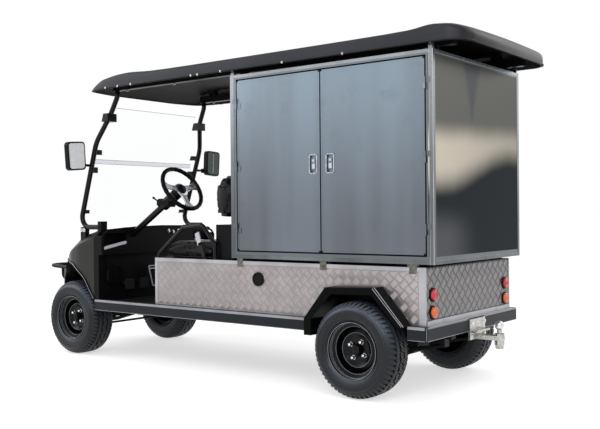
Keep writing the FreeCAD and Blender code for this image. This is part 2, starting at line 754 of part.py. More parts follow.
# Dash behind the cowl, following its outline, with legs, shelves and kick panel
dash_line = half_outline(cowl_slices[0][1], 0)
hood_line = [(cowl_side, dash_low)] + dash_line[1:-1] + [(-cowl_side, dash_low)]
dash_hood = plate("dash_hood", "YZ_Plane", hood_line, (dash_back, cowl_back))
shelves = []
for side, ys in enumerate(((330, 544), (-544, -330))):
    shelves.append(box(f"shelf{side}", (dash_back - 5, dash_back + 65), ys,
                       (dash_low + 40, dash_low + 150)))
dash_legs = []
for side, ys in enumerate(((dash_leg_in, cowl_side), (-cowl_side, -dash_leg_in))):
    dash_legs.append(box(f"dash_leg{side}", (cowl_back - 50, cowl_back), ys, (sill_top, dash_low)))
kick_panel = box("kick_panel", (floor_front, floor_front + 12), (-dash_leg_in, dash_leg_in),
                 (floor_top - 25, dash_low))
ridges = [(-12, 0)]
for ring in range(4):
    ridges += [(-12, 16 + 14 * ring), (-5, 17 + 14 * ring), (-5, 22 + 14 * ring),
               (-12, 23 + 14 * ring)]
grille_line = ridges + [(-12, 68), (0, 74), (0, 0)]
grilles = [turned(f"kick_grille{side}", grille_line, (floor_front, sign * 418, 570), "x")
           for side, sign in enumerate((1, -1))]
cap = box("dash_cap", (cowl_back - 40, cowl_back - 5), (470, 525), (870, 945))
cap_seat = cut("dash_cap_seat", cap, dash_hood)
dash = fuse("dash", [cut("dash_cut", dash_hood, fuse("dash_shelves", shelves)), cap_seat,
                     kick_panel] + dash_legs + grilles)
node("dash", dash)
node("front_liners", cut("front_liners", liners, dash))

# Nose bumper under the cowl, and headlamps in it
nose_x = cowl_nose + 22
nose_plan = [(1462, 440), (1600, 338), (cowl_nose - 10, 288), (nose_x, 190), (nose_x, -190),
             (cowl_nose - 10, -288), (1600, -338), (1462, -440)]
nose_block = plate("nose_block", "XY_Plane", nose_plan, (430, 660))
nose_line = [(1502, 637.3), (cowl_nose - 100, 615), (cowl_nose, 590), (nose_x, 584.5),
             (nose_x, 480), (cowl_nose, 445), (1655, 445), (1655, 520), (1560, 590)]
nose_side = plate("nose_side", "XZ_Plane", nose_line, (-460, 460))
nose_foot = plate("nose_foot", "XZ_Plane",
                  [(1622, rail_top), (1622, 500), (1655, 520), (cowl_nose, 520),
                   (cowl_nose, 430), (cowl_nose - 15, rail_top)], (-185, 185))
nose = cut("nose", common("nose_form", [nose_block, nose_side]), cowl_outer)
node("front_bumper", fuse("front_bumper", [nose, nose_foot]))
headlamp = turned("headlamp", [(0, 0), (0, 40), (14, 38), (22, 30), (24, 0)],
                  (nose_x, 140, 533), "x")
node("headlamps", both("headlamps", headlamp))

# Brush guard: a bow round the nose on two legs
bar_x = guard_front - guard_radius
guard_z = size("guard_z", 608)
bow = bent("guard_bow", [(1565, guard_y - 15, guard_z - 16), (bar_x, guard_y - 15, guard_z),
                         (bar_x, 15 - guard_y, guard_z), (1565, 15 - guard_y, guard_z - 16)],
           guard_radius, 55)
legs = [bent(f"guard_leg{side}", [(bar_x, sign * 215, guard_z), (bar_x, sign * 215, 500),
                                  (1650, sign * 215, 500)], 11, 40)
        for side, sign in enumerate((1, -1))]
guard_solid = cut("guard_solid", fuse("guard_tubes", [bow] + legs), fuse("guard_stop", [
    plate("nose_stop", "XY_Plane", nose_plan, (430, 660)), plate(
        "wheel_stop", "XY_Plane", [(1500, -460), (1655, -460), (1655, 460), (1500, 460)],
        (430, 590))]))
node("brush_guard", guard_solid)

# Struts with clips for the windshield
strut_line = [(cowl_back, strut_foot_y, 905), (1215, strut_foot_y, 905),
              (1022, strut_foot_y + 8, 1492), (951, roof_rail_y + 10, 1690),
              (893, roof_rail_y, 1806), (893, roof_rail_y, roof_low)]
strut = bent("strut", strut_line, strut_radius, [70, 260, 260, 60])


def slant_clip(name, line, low, height, back, ys):
    """Clip from the strut to the windshield's rear face, cut to the glass slope."""
    (x0, z0), (x1, z1) = line
    high = low + height

    def face(z):
        return x0 + (x1 - x0) * (z - z0) / (z1 - z0) - pin_gap / 3

    return plate(name, "XZ_Plane", [(back, low), (face(low), low), (face(high), high),
                                    (back, high)], ys)


lower_line = ((1244, 895), (1086, 1370))
upper_line = ((1085, 1376), (965, 1740))
clips = [slant_clip("clip0", lower_line, 1000, 26, 1172, (455, 492)),
         slant_clip("clip1", lower_line, 1285, 40, 1080, (452, 492)),
         slant_clip("clip2", upper_line, 1410, 34, 1036, (450, 500)),
         slant_clip("clip3", upper_line, 1637, 56, 934, (402, 484))]
foot = cut("strut_foot", box("foot_block", (1138, 1190), (strut_foot_y - 18, strut_foot_y + 18),
                             (780, 905)), cowl_outer)
node("front_struts", both("front_struts", fuse("strut_side", [strut, foot] + clips)))


def pane(name, line, top_half):
    """Flat windshield pane between two heights, cut to its width at the top."""
    (low_x, low_z), (high_x, high_z) = line
    sheet_block = plate(name + "_block", "XZ_Plane",
                        [(low_x, low_z), (low_x + glass_thick, low_z),
                         (high_x + glass_thick, high_z), (high_x, high_z)],
                        (-glass_half, glass_half))
    front = plate(name + "_front", "YZ_Plane",
                  [(-glass_half, low_z - 1), (glass_half, low_z - 1), (top_half, high_z + 1),
                   (-dim(top_half), high_z + 1)], (high_x - 10, low_x + 20))
    return common(name, [sheet_block, front])


node("windshield_lower", pane("windshield_lower", lower_line, glass_half))
node("windshield_upper", pane("windshield_upper", upper_line, glass_top_half))

# Roof shell: a ruled skin with rounded corners, hollow below, over two rails
roof_slices = [
    slice_at(roof_back, roof_low + 50, (370, roof_low + 46), (430, roof_low + 38), roof_low),
    slice_at(roof_back + 25, roof_low + 84, (470, roof_low + 76), (520, roof_low + 60), roof_low),
    slice_at(roof_back + 85, roof_low + 104, (520, roof_low + 94), (566, roof_low + 76), roof_low),
    slice_at(roof_back + 190, roof_low + 108, (530, roof_low + 100), (roof_half, roof_low + 90),
             roof_low),
    slice_at(roof_back + 330, roof_low + roof_depth, (530, roof_low + 80),
             (roof_half, roof_low + 70), roof_low),
    slice_at(roof_front - 720, roof_low + roof_depth, (530, roof_low + 80),
             (roof_half, roof_low + 70), roof_low),
    slice_at(roof_front - 470, roof_low + roof_depth + 10, (530, roof_low + 96),
             (roof_half, roof_low + 86), roof_low),
    slice_at(roof_front - 340, roof_low + roof_depth + 6, (528, roof_low + 90),
             (roof_half, roof_low + 80), roof_low),
    slice_at(roof_front - 200, roof_low + 82, (520, roof_low + 74), (566, roof_low + 62), roof_low),
    slice_at(roof_front - 110, roof_low + 58, (490, roof_low + 46), (548, roof_low + 30), roof_low),
    slice_at(roof_front - 45, roof_low + 34, (430, roof_low + 26), (515, roof_low + 14), roof_low),
    slice_at(roof_front, roof_low + 14, (230, roof_low + 12), (300, roof_low + 9), roof_low),
]
roof_under = [(at, sizes[:3] + (roof_low - 40,)) for at, sizes in roof_slices]
roof_outer = skin_loft("roof_outer", roof_slices, 0, 0, 0)
roof_inner = skin_loft("roof_inner", roof_under, roof_skin, roof_skin, -30)
node("roof_shell", cut("roof_shell", roof_outer, roof_inner))
rail_ys = (roof_rail_y - 20, roof_rail_y + 20)
roof_rail = box("roof_rail", (roof_back + 110, 915), rail_ys, (roof_low, roof_low + 50))
rail_posts = [roof_rail]
for number, along in enumerate((-300, -790, -1230, -1600)):
    rail_posts.append(box(f"roof_post{number}", (along, along + 40), rail_ys,
                          (box_top, roof_low)))
for number, along in enumerate((-1560, -600, 300, 760)):
    pad = box(f"roof_pad{number}", (along, along + 60), rail_ys, (roof_low + 50, roof_low + 95))
    rail_posts.append(common(f"roof_seat{number}", [pad, roof_inner]))
roof_frame = fuse("roof_frame_side", rail_posts)
node("roof_frame", both("roof_frame", roof_frame))

# Mirrors on arms from the struts
mirror_out = mirror_in + mirror_wide
mirror_top = mirror_low + mirror_high
mirror_case = plate("mirror_case", "YZ_Plane",
                    [(mirror_in, mirror_low + 12), (mirror_out - 14, mirror_low),
                     (mirror_out, mirror_top - 10), (mirror_in + 10, mirror_top)],
                    (mirror_x, mirror_x + 38))
rounded(mirror_case, "mirror_corner", 26, runs_along(0))
mirror_mount = box("mirror_mount", (mirror_x + 20, 1096), (mirror_in + 4, mirror_in + 34),
                   (mirror_low + 28, mirror_low + 62))
mirror_arm = cut("mirror_arm_cut", rod("mirror_arm", "y", (1077, 506, mirror_low + 45), 9, 100),
                 strut)
mirror_half = fuse("mirror_half", [mirror_case, mirror_mount, mirror_arm])
node("mirrors", both("mirrors", mirror_half))

# Seat
cushion_line = [(-70, seat_low), (410, seat_low), (410, seat_low + seat_height),
                (-70, seat_low + seat_height)]
cushion = plate("cushion", "XZ_Plane", cushion_line, (-seat_half, seat_half))
rounded(cushion, "cushion_corner", 28, runs_along(2))
node("seat_cushion", rounded(cushion, "cushion_edge", 20, lambda e: e.CenterOfMass.z >
                             (seat_low + seat_height).value - 1))
back_line = [(-seat_half, 945), (seat_half, 945), (seat_half, 1200), (seat_half - 55, 1262),
             (55 - seat_half, 1262), (-seat_half, 1200)]
back = plate("back", "YZ_Plane", back_line, (-165, -30))
rounded(back, "back_corner", 30, runs_along(0))
node("seat_back", rounded(back, "back_edge", 22, lambda e: e.CenterOfMass.x > 134))
support = [box("support_shell", (-210, -75), (-(seat_half - 5), seat_half - 5), (seat_low, 925))]
for side, at in enumerate((-330, 290)):
    support.append(box(f"back_post{side}", (-205, -165), (at, at + 40), (900, 1200)))
node("seat_support", fuse("seat_support", support))
arm_y = seat_half + 15
armrest = bent("armrest", [(415, arm_y, seat_low), (415, arm_y, 735), (190, arm_y, 905),
                           (20, arm_y, 922), (-85, arm_y, 800), (-85, arm_y, seat_low)], 13, 30)
node("armrests", both("armrests", armrest))

# Steering column and wheel
turn_y = FreeCAD.Rotation(vector(0, 1, 0), 90 + column_angle.value)


def along_column(name, kind, distance, radius, length):
    """Round piece on the column line, measured from the wheel centre down to the dash."""
    angle = math.radians(column_angle.value)
    piece = doc.addObject(kind, name)
    piece.Placement = FreeCAD.Placement(vector(), turn_y)
    place(piece, (wheel_x + distance * round(math.cos(angle), 6), wheel_y,
                  wheel_z - distance * round(math.sin(angle), 6)))
    if kind == "Part::Cylinder":
        bind(piece, "Radius", radius)
        bind(piece, "Height", length)
    else:
        bind(piece, "Radius1", radius)
        bind(piece, "Radius2", length)
    return piece


column = fuse("column", [along_column("column_tube", "Part::Cylinder", 60, 22, 540),
                         along_column("column_shroud", "Part::Cylinder", 60, 38, 150)])
node("steering_column", cut("steering_column", column,
                            box("column_stop", (dash_back, dash_back + 200), (150, 400),
                                (700, 1100))))
wheel_parts = [along_column("wheel_ring", "Part::Torus", 0, wheel_radius, wheel_rim),
               along_column("wheel_hub", "Part::Cylinder", 6, 35, 53.7)]
for number in range(3):
    spoke = doc.addObject("Part::Box", f"wheel_spoke{number}")
    bind(spoke, "Length", wheel_radius - 8)
    bind(spoke, "Width", 24)
    bind(spoke, "Height", 8)
    angle = 100 * (number - 1)
    local = FreeCAD.Placement(vector(0, 0, 12), FreeCAD.Rotation(vector(0, 0, 1), angle))
    local = local.multiply(FreeCAD.Placement(vector(0, -12, 0), FreeCAD.Rotation()))
    base = FreeCAD.Placement(vector(wheel_x.value, wheel_y.value, wheel_z.value), turn_y)
    spoke.Placement = base.multiply(local)
    wheel_parts.append(spoke)
node("steering_wheel", fuse("steering_wheel", wheel_parts))

# Pedals
pedals = []
for number, across in enumerate((170, 300)):
    pedals.append(box(f"pedal_pad{number}", (880, 900), (across, across + 70), (470, 540)))
    pedals.append(box(f"pedal_arm{number}", (900, floor_front), (across + 25, across + 45),
                      (500, 520)))
brake_frame = cut("brake_frame",
                  plate("brake_outer", "YZ_Plane", [(55, 620), (150, 620), (112, 475), (82, 475)],
                        (900, 912)),
                  plate("brake_inner", "YZ_Plane", [(76, 605), (129, 605), (100, 505)],
                        (890, 920)))
brake_arm = box("brake_arm", (912, floor_front), (92, 106), (478, 500))
node("pedals", group("pedals", [fuse(f"pedal{n}", pedals[2 * n:2 * n + 2]) for n in range(2)]
                     + [fuse("brake_pedal", [brake_frame, brake_arm])]))

# Tail lamps, charge port and hitch
lamps = []
for side in (1, -1):
    for number, height in enumerate((565, 474)):
        lamps.append(rod(f"tail_lamp{number}_{side + 1}", "x",
                         (panel_back - 22, dim(441) * side, height), 31, 22))
node("tail_lamps", group("tail_lamps", lamps))
node("charge_port", rod("charge_port", "y", (-448, panel_out, 605), 40, 14))
tongue_line = [(bumper_back, -34), (bumper_back, 34), (hitch_x + 8, 28), (hitch_x - 14, 24),
               (hitch_x - 28, 8), (hitch_x - 28, -8), (hitch_x - 14, -24), (hitch_x + 8, -28)]
nut_line = [(hitch_x + 24, 0), (hitch_x + 12, 21), (hitch_x - 12, 21), (hitch_x - 24, 0),
            (hitch_x - 12, -21), (hitch_x + 12, -21)]
hitch_body = fuse("hitch_body", [
    box("hitch_plate", (bumper_back - 10, bumper_back), (-95, 95), (290, 402)),
    plate("hitch_tongue", "XY_Plane", tongue_line, (290, 314)),
    box("hitch_ears", (bumper_back - 45, bumper_back - 10), (-85, 85), (330, 342)),
    rod("hitch_collar", "z", (hitch_x, 0, 264), 27, 62),
    plate("hitch_nut", "XY_Plane", nut_line, (244, 264)),
    rod("hitch_shank", "z", (hitch_x, 0, 250), 13, 110)])
ball = doc.addObject("Part::Sphere", "hitch_ball")
bind(ball, "Radius", 25)
place(ball, (hitch_x, 0, 370))
ear_holes = fuse("ear_holes", [rod("ear_hole0", "z", (bumper_back - 29, 62, 320), 8, 40),
                               rod("ear_hole1", "z", (bumper_back - 29, -62, 320), 8, 40)])
node("hitch", cut("hitch", fuse("hitch_solid", [hitch_body, ball]), ear_holes))

# Recompute, check every object, write the files
doc.recompute()
bad = []
for thing in doc.Objects:
    state = [s for s in thing.State if s in ("Invalid", "Error")]
    if state:
        bad.append(f"{thing.Name}: {state}")
    shape = getattr(thing, "Shape", None)
    if shape is not None and thing.TypeId != "PartDesign::Body" and "Origin" not in thing.TypeId:
        if thing.TypeId.startswith(("Part::", "PartDesign::Pad", "PartDesign::Rev")):
            if shape.isNull() or not shape.isValid():
                bad.append(f"{thing.Name}: shape not valid")
if bad:
    raise RuntimeError("bad objects: " + "; ".join(bad))
for name, thing in nodes:
    shape = thing.Shape
    if shape.isNull() or not shape.isValid() or not shape.Solids:
        raise RuntimeError(f"{name} has no valid solid")
    shape.exportStep(f"parts/{name}.step")
print(len(nodes), "nodes written")
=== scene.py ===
"""Looks of a utility cart with a steel cargo box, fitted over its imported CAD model."""

import math

import bmesh
import bpy
from bpy.props import FloatProperty, FloatVectorProperty, PointerProperty
from mathutils import Matrix, Vector


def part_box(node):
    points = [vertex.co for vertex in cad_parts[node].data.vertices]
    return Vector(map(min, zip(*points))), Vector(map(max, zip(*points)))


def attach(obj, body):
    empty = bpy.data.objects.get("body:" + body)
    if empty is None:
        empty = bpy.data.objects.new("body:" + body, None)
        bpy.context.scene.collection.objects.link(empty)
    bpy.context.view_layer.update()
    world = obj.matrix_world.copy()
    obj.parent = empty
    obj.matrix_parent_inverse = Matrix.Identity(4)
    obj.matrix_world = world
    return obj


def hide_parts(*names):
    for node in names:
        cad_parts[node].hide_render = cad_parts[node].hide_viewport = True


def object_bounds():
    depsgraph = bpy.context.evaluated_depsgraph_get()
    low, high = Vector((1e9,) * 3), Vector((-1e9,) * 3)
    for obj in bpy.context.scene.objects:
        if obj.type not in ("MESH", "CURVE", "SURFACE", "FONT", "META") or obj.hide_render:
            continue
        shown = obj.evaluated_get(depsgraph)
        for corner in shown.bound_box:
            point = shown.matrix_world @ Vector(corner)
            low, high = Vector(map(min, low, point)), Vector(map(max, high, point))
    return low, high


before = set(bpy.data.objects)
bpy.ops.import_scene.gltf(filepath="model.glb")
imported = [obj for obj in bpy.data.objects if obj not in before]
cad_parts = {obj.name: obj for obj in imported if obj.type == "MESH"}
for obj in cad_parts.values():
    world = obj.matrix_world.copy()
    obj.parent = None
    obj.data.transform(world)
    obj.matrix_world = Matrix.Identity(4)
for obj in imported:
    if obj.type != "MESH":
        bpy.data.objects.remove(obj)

bl_info = {
    "name": "Utility cart looks",
    "version": (1, 0, 0),
    "blender": (4, 5, 0),
    "location": "3D View > Sidebar > Cart",
    "description": "Builds the tyres, skins, trim, cushions and finishes of a utility cart",
    "category": "Object",
}

CAD_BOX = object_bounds()
FRONT_AXLE = 1.298
REAR_AXLE = -1.170
AXLE_HEIGHT = 0.260
WHEELS = {
    "front_left": (FRONT_AXLE, 0.436, 1),
    "front_right": (FRONT_AXLE, -0.436, -1),
    "rear_left": (REAR_AXLE, 0.526, 1),
    "rear_right": (REAR_AXLE, -0.526, -1),
}
# Sign of y on each side
SIDES = ((1, "left"), (-1, "right"))


def tone(red, green, blue):
    """Screen colour from 0 to 255 as the linear colour that shaders use."""
    def line(level):
        level /= 255
        return level / 12.92 if level <= 0.04045 else ((level + 0.055) / 1.055) ** 2.4
    return (line(red), line(green), line(blue), 1.0)


def times(colour, factor):
    """The same colour, darker or lighter."""
    return tuple(level * factor for level in colour[:3]) + (1.0,)


# Shader maths

class Wire:
    """One value in a material. Python arithmetic on it adds the Math nodes."""

    def __init__(self, shade, socket):
        self.shade = shade
        self.socket = socket

    def maths(self, operation, first, second=0.0, third=0.0):
        return self.shade.node("Math", {"operation": operation}, {0: first, 1: second, 2: third})

    def __add__(self, other):
        return self.maths("ADD", self, other)

    def __sub__(self, other):
        return self.maths("SUBTRACT", self, other)

    def __rsub__(self, other):
        return self.maths("SUBTRACT", other, self)

    def __mul__(self, other):
        return self.maths("MULTIPLY", self, other)

    def __gt__(self, other):
        return self.maths("GREATER_THAN", self, other)

    def __abs__(self):
        return self.maths("ABSOLUTE", self)

    def wave(self):
        return self.maths("SINE", self)

    def between(self, low, high, start=0.0, end=1.0):
        """Soft step from start to end as the value goes from low to high."""
        return self.shade.node("MapRange", {"interpolation_type": "SMOOTHSTEP"},
                               {"Value": self, "From Min": low, "From Max": high,
                                "To Min": start, "To Max": end})


class Shade:
    """One procedural material, or the world, under construction."""

    def __init__(self, name, store=None):
        store = bpy.data.materials if store is None else store
        self.material = store.new(name)
        self.material.use_nodes = True
        self.tree = self.material.node_tree
        self.tree.nodes.clear()
        self.point = self.node("TexCoord", out="Object")

    def node(self, kind, settings=None, feeds=None, out=0):
        """Add a node: its settings first, then the values or links of its sockets."""
        made = self.tree.nodes.new("ShaderNode" + kind)
        for name, value in (settings or {}).items():
            setattr(made, name, value)
        for name, value in (feeds or {}).items():
            if isinstance(value, Wire):
                self.tree.links.new(value.socket, made.inputs[name])
            else:
                made.inputs[name].default_value = value
        return Wire(self, made.outputs[out] if made.outputs else None)

    def axis(self, letter):
        """Distance along one axis of the cart, in metres."""
        return self.node("SeparateXYZ", {}, {0: self.point}, letter.upper())

    def ribs(self, letter, pitch):
        """Wave from -1 to 1 along one axis of the cart."""
        return (self.axis(letter) * (2 * math.pi / pitch)).wave()

    def facing(self, letter):
        """How far the surface faces along one axis, from -1 to 1."""
        normal = self.node("NewGeometry", out="Normal")
        return self.node("SeparateXYZ", {}, {0: normal}, letter.upper())

    def cloud(self, scale, detail=3.0, stretch=(1.0, 1.0, 1.0), rough=0.5):
        """Soft noise from 0 to 1; stretch makes it longer along an axis where it is small."""
        place = self.node("VectorMath", {"operation": "MULTIPLY"}, {0: self.point, 1: stretch})
        return self.node("TexNoise", {}, {"Vector": place, "Scale": scale, "Detail": detail,
                                          "Roughness": rough})

    def cells(self, scale, out="Distance"):
        return self.node("TexVoronoi", {}, {"Vector": self.point, "Scale": scale}, out)

    def mix(self, first, second, factor):
        """Colour that goes from first to second."""
        return self.node("Mix", {"data_type": "RGBA"}, {0: factor, 6: first, 7: second}, 2)

    def toned(self, colour, low, high, factor):
        """One colour that goes from its low to its high multiple."""
        return self.mix(times(colour, low), times(colour, high), factor)

    def speckle(self, scale):
        """A level from 0 to 1 for each cell."""
        return self.node("SeparateColor", {}, {0: self.cells(scale, "Color")}, "Red")

    def bump(self, height, strength, distance):
        return self.node("Bump", {}, {"Strength": strength, "Distance": distance,
                                      "Height": height}, "Normal")

    def worn(self):
        """1 on sharp outer edges, 0 elsewhere."""
        edge = self.node("NewGeometry", out="Pointiness")
        return edge.between(0.53, 0.62)

    def finish(self, colour, **sockets):
        """Close the material with a Principled surface."""
        feeds = {"Base Color": colour}
        for name, value in sockets.items():
            feeds[name.replace("_", " ")] = value
        return self.close(self.node("BsdfPrincipled", {}, feeds))

    def close(self, surface):
        """Put a surface on the material and hand the material over."""
        self.node("OutputMaterial", {}, {"Surface": surface})
        return self.material


# Finishes

def moulded_plastic(name, colour, rough=0.42, grain=420.0, depth=0.0006, shine=0.14):
    """Satin moulded plastic with a fine leather grain and a little dust."""
    shade = Shade(name)
    dust = shade.cloud(2.6, 5.0)
    grained = shade.cells(grain)
    body = shade.toned(colour, 0.82, 1.22, dust.between(0.3, 0.7))
    body = shade.mix(body, times(colour, 1.9), shade.worn() * 0.35)
    return shade.finish(body, Roughness=dust * 0.14 + (rough - 0.07),
                        Normal=shade.bump(grained + dust * 0.3, 0.35, depth),
                        Specular_IOR_Level=shine)


def coated_steel(name, colour, rough=0.3, coat=0.1, shine=0.2):
    """Powder-coated steel: faint orange peel, paler worn edges."""
    shade = Shade(name)
    peel = shade.cloud(160.0, 2.0)
    haze = shade.cloud(5.0, 4.0)
    body = shade.toned(colour, 0.8, 1.3, haze)
    body = shade.mix(body, times(colour, 2.6), shade.worn() * 0.5)
    return shade.finish(body, Roughness=haze * 0.16 + (rough - 0.06),
                        Normal=shade.bump(peel, 0.12, 0.0008),
                        Coat_Weight=coat, Coat_Roughness=0.18, Specular_IOR_Level=shine)


def cast_iron(name, colour):
    """Rough cast and forged running gear with road dust on top faces."""
    shade = Shade(name)
    rough = shade.cloud(240.0, 4.0)
    soil = shade.cloud(12.0, 6.0)
    up = shade.facing("z").between(0.2, 0.9)
    body = shade.toned(colour, 0.7, 1.4, soil)
    body = shade.mix(body, tone(66, 61, 55), up * soil * 0.6)
    return shade.finish(body, Roughness=soil * 0.25 + 0.5, Metallic=0.2,
                        Normal=shade.bump(rough, 0.5, 0.0012), Specular_IOR_Level=0.2)


def tyre_rubber(name):
    """Blue-black rubber, with a painted sky sheen that makes the faces looking up paler and bluer.
    """
    shade = Shade(name)
    haze = shade.cloud(14.0, 5.0)
    fine = shade.cloud(700.0, 2.0)
    edge = shade.worn()
    up = shade.facing("z").between(0.0, 0.60)
    body = shade.mix(tone(6, 8, 11), tone(18, 22, 28), haze)
    # painted sheen: faces that look up are painted paler blue, in place of the sky's reflection
    body = shade.mix(body, tone(106, 114, 130), up * (haze * 0.5 + 0.30))
    body = shade.mix(body, tone(50, 56, 64), edge * 0.3)
    return shade.finish(body, Roughness=haze * 0.16 + 0.33,
                        Normal=shade.bump(fine, 0.25, 0.0005), Specular_IOR_Level=0.34)


def brushed_steel(name, low, high, reflection_banding=1.0, roughness=0.3, grain=(1.0, 1.0, 0.02)):
    """Stainless sheet: hairline grain and fingermarks, with painted reflections: slow vertical
    streaks and a lighter tone towards the top.
    """
    shade = Shade(name)
    hair = shade.cloud(900.0, 2.0, grain)
    # painted reflection: soft vertical streaks, and the tone going from low to high with height
    reflection_streak = shade.cloud(3.2, 3.0, (1.0, 1.0, 0.10))
    height = shade.axis("z").between(0.83, 1.83)
    broad = reflection_streak.between(0.32, 0.68)
    mark = shade.cloud(9.0, 6.0).between(0.55, 0.75)
    body = shade.mix(low, high, (broad * 0.28 + height * 0.72) * reflection_banding + (1 - reflection_banding) * 0.5)
    body = shade.mix(body, times(low, 0.85), mark * 0.18)
    return shade.finish(body, Metallic=0.92,
                        Roughness=hair * 0.12 + mark * 0.06 + (roughness - 0.06),
                        Normal=shade.bump(hair, 0.10, 0.0003))


def rear_sheet_steel(name):
    """The box's rear sheet: the same steel, with the broad soft bands of painted reflection that it
    shows.
    """
    shade = Shade(name)
    hair = shade.cloud(900.0, 2.0, (1.0, 1.0, 0.02))
    height = shade.axis("z") + shade.cloud(2.4, 3.0, (1.0, 1.0, 0.5)) * 0.07 - 0.035
    side = shade.axis("y")
    near = side.between(-0.45, 0.50)
    # painted reflection: darker below, paler above, and a warm light band across the upper part
    above = (height + near * 0.18).between(1.23, 1.41)
    band = above * (1 - (height + near * 0.04).between(1.36, 1.51))
    body = shade.mix(tone(42, 46, 49), tone(108, 108, 104), above)
    # painted reflection: a grey wedge that widens upwards near the middle
    painted_reflection_wedge = abs(side - 0.09) - (height - 1.43) * 0.33
    body = shade.mix(body, tone(86, 88, 95), painted_reflection_wedge.between(-0.05, 0.012, 0.75, 0.0))
    body = shade.mix(body, tone(212, 202, 187), band * (near * 0.30 + 0.68))
    # painted reflection: a paler lower part on the left
    low = (1 - height.between(0.86, 1.04)) * side.between(0.0, 0.42)
    body = shade.mix(body, tone(92, 94, 97), low * 0.85)
    return shade.finish(body, Metallic=0.9, Roughness=hair * 0.12 + 0.24,
                        Specular_Tint=(0.5, 0.5, 0.5, 1.0),
                        Normal=shade.bump(hair, 0.10, 0.0003))


def plate_aluminium(name, low, high, roughness=0.34, painted_back_shade=0.55):
    """Mill aluminium of the tread plate and trims: streaky, slightly oxidised, with painted shade
    on the faces that look back.
    """
    shade = Shade(name)
    roll = shade.cloud(260.0, 3.0, (0.05, 0.05, 1.0))
    bloom = shade.cloud(7.0, 5.0).between(0.35, 0.72)
    speck = shade.cells(320.0).between(0.0, 0.35)
    body = shade.mix(low, high, bloom * 0.6 + roll * 0.4)
    body = shade.mix(body, times(low, 0.8), (1 - speck) * 0.25)
    # painted shade: faces that look back along the cart are darkened
    back = (shade.facing("x") * -1).between(0.6, 0.95)
    body = shade.mix(body, times(low, 0.72), back * painted_back_shade)
    return shade.finish(body, Metallic=0.75, Roughness=bloom * 0.12 + roughness,
                        Normal=shade.bump(roll, 0.12, 0.0004))


def cowl_paint(name, colour):
    """Moulded-in charcoal with metal flake under a satin clear."""
    shade = Shade(name)
    sparkle = shade.speckle(1100.0) > 0.86
    haze = shade.cloud(1.7, 4.0)
    body = shade.toned(colour, 0.85, 1.2, haze)
    body = shade.mix(body, times(colour, 2.6), sparkle * 0.35)
    peel = shade.cloud(60.0, 2.0)
    return shade.finish(body, Metallic=0.2, Roughness=haze * 0.1 + 0.34, Coat_Weight=0.12,
                        Coat_Roughness=0.15, Normal=shade.bump(peel, 0.05, 0.001),
                        Specular_IOR_Level=0.25)


def ribbed_rubber(name, colour, pitch):
    """Floor and pedal rubber with ribs along the cart, and painted shade in the grooves between
    them.
    """
    shade = Shade(name)
    rib = shade.ribs("y", pitch)
    soil = shade.cloud(9.0, 6.0)
    body = shade.toned(colour, 0.8, 1.5, soil)
    # painted shade: darker in the grooves between the ribs
    body = shade.mix(body, times(colour, 0.45), (1 - rib.between(-0.4, 0.4)) * 0.7)
    return shade.finish(body, Roughness=soil * 0.2 + 0.6, Specular_IOR_Level=0.15,
                        Normal=shade.bump(rib.between(-0.5, 0.5), 0.8, 0.003))


def seat_vinyl(name):
    """Black vinyl: pebble grain, soft creasing, a little sheen where it is sat on."""
    shade = Shade(name)
    pebble = shade.cells(380.0)
    crease = shade.cloud(26.0, 6.0, (0.6, 1.0, 1.0))
    wear = shade.cloud(3.5, 4.0).between(0.35, 0.7)
    body = shade.mix(tone(15, 15, 17), tone(27, 28, 31), wear)
    body = shade.mix(body, tone(8, 8, 9), (1 - pebble.between(0.02, 0.3)) * 0.5)
    return shade.finish(body, Roughness=0.5 - wear * 0.12, Specular_IOR_Level=0.22,
                        Normal=shade.bump(pebble * 0.7 + crease * 0.6, 0.45, 0.0012))


def clear_sheet(name, tint, veil):
    """Polycarbonate sheet: almost clear, with a little Fresnel gloss and a faint haze."""
    shade = Shade(name)
    haze = shade.cloud(4.0, 5.0).between(0.4, 0.8)
    fresnel = shade.node("Fresnel", {}, {"IOR": 1.2})
    clear = shade.node("BsdfTransparent", {}, {"Color": tint})
    gloss = shade.node("BsdfPrincipled", {}, {
        "Base Color": shade.mix(tone(176, 184, 190), tone(206, 212, 215), haze),
        "Roughness": haze * 0.1 + 0.05})
    surface = shade.node("MixShader", {}, {0: fresnel * 0.10 + haze * 0.004 + veil,
                                           1: clear, 2: gloss})
    return shade.close(surface)


LENS_PITCH = 0.0045


def lamp_lens(name, colour):
    """Ribbed lamp lens, deeper in colour between its ribs."""
    shade = Shade(name)
    facet = shade.cells(190.0)
    rib = shade.ribs("z", LENS_PITCH)
    body = shade.mix(colour, times(colour, 0.45), facet.between(0.2, 0.6) * 0.5)
    body = shade.mix(body, times(colour, 1.5), rib.between(0.2, 1.0) * 0.3)
    return shade.finish(body, Roughness=facet * 0.1 + 0.10, Coat_Weight=0.6,
                        Normal=shade.bump(rib + facet, 0.3, 0.001))


def mirror_painted_reflection(name, colour, metal):
    """Mirror glass as a painted reflection: one flat colour for what it reflects, with a faint film
    of dirt.
    """
    shade = Shade(name)
    haze = shade.cloud(12.0, 5.0).between(0.55, 0.8)
    return shade.finish(shade.mix(colour, times(colour, 0.86), haze), Metallic=metal,
                        Roughness=haze * 0.08 + 0.05)


def plated_steel(name, low, high, roughness=0.24):
    """Zinc or chrome plate with spangle and dull patches."""
    shade = Shade(name)
    spangle = shade.speckle(140.0)
    dull = shade.cloud(30.0, 5.0).between(0.4, 0.7)
    body = shade.mix(low, high, spangle * 0.6 + dull * 0.4)
    return shade.finish(body, Metallic=0.95, Roughness=dull * 0.2 + roughness - 0.08,
                        Normal=shade.bump(dull, 0.1, 0.0005))


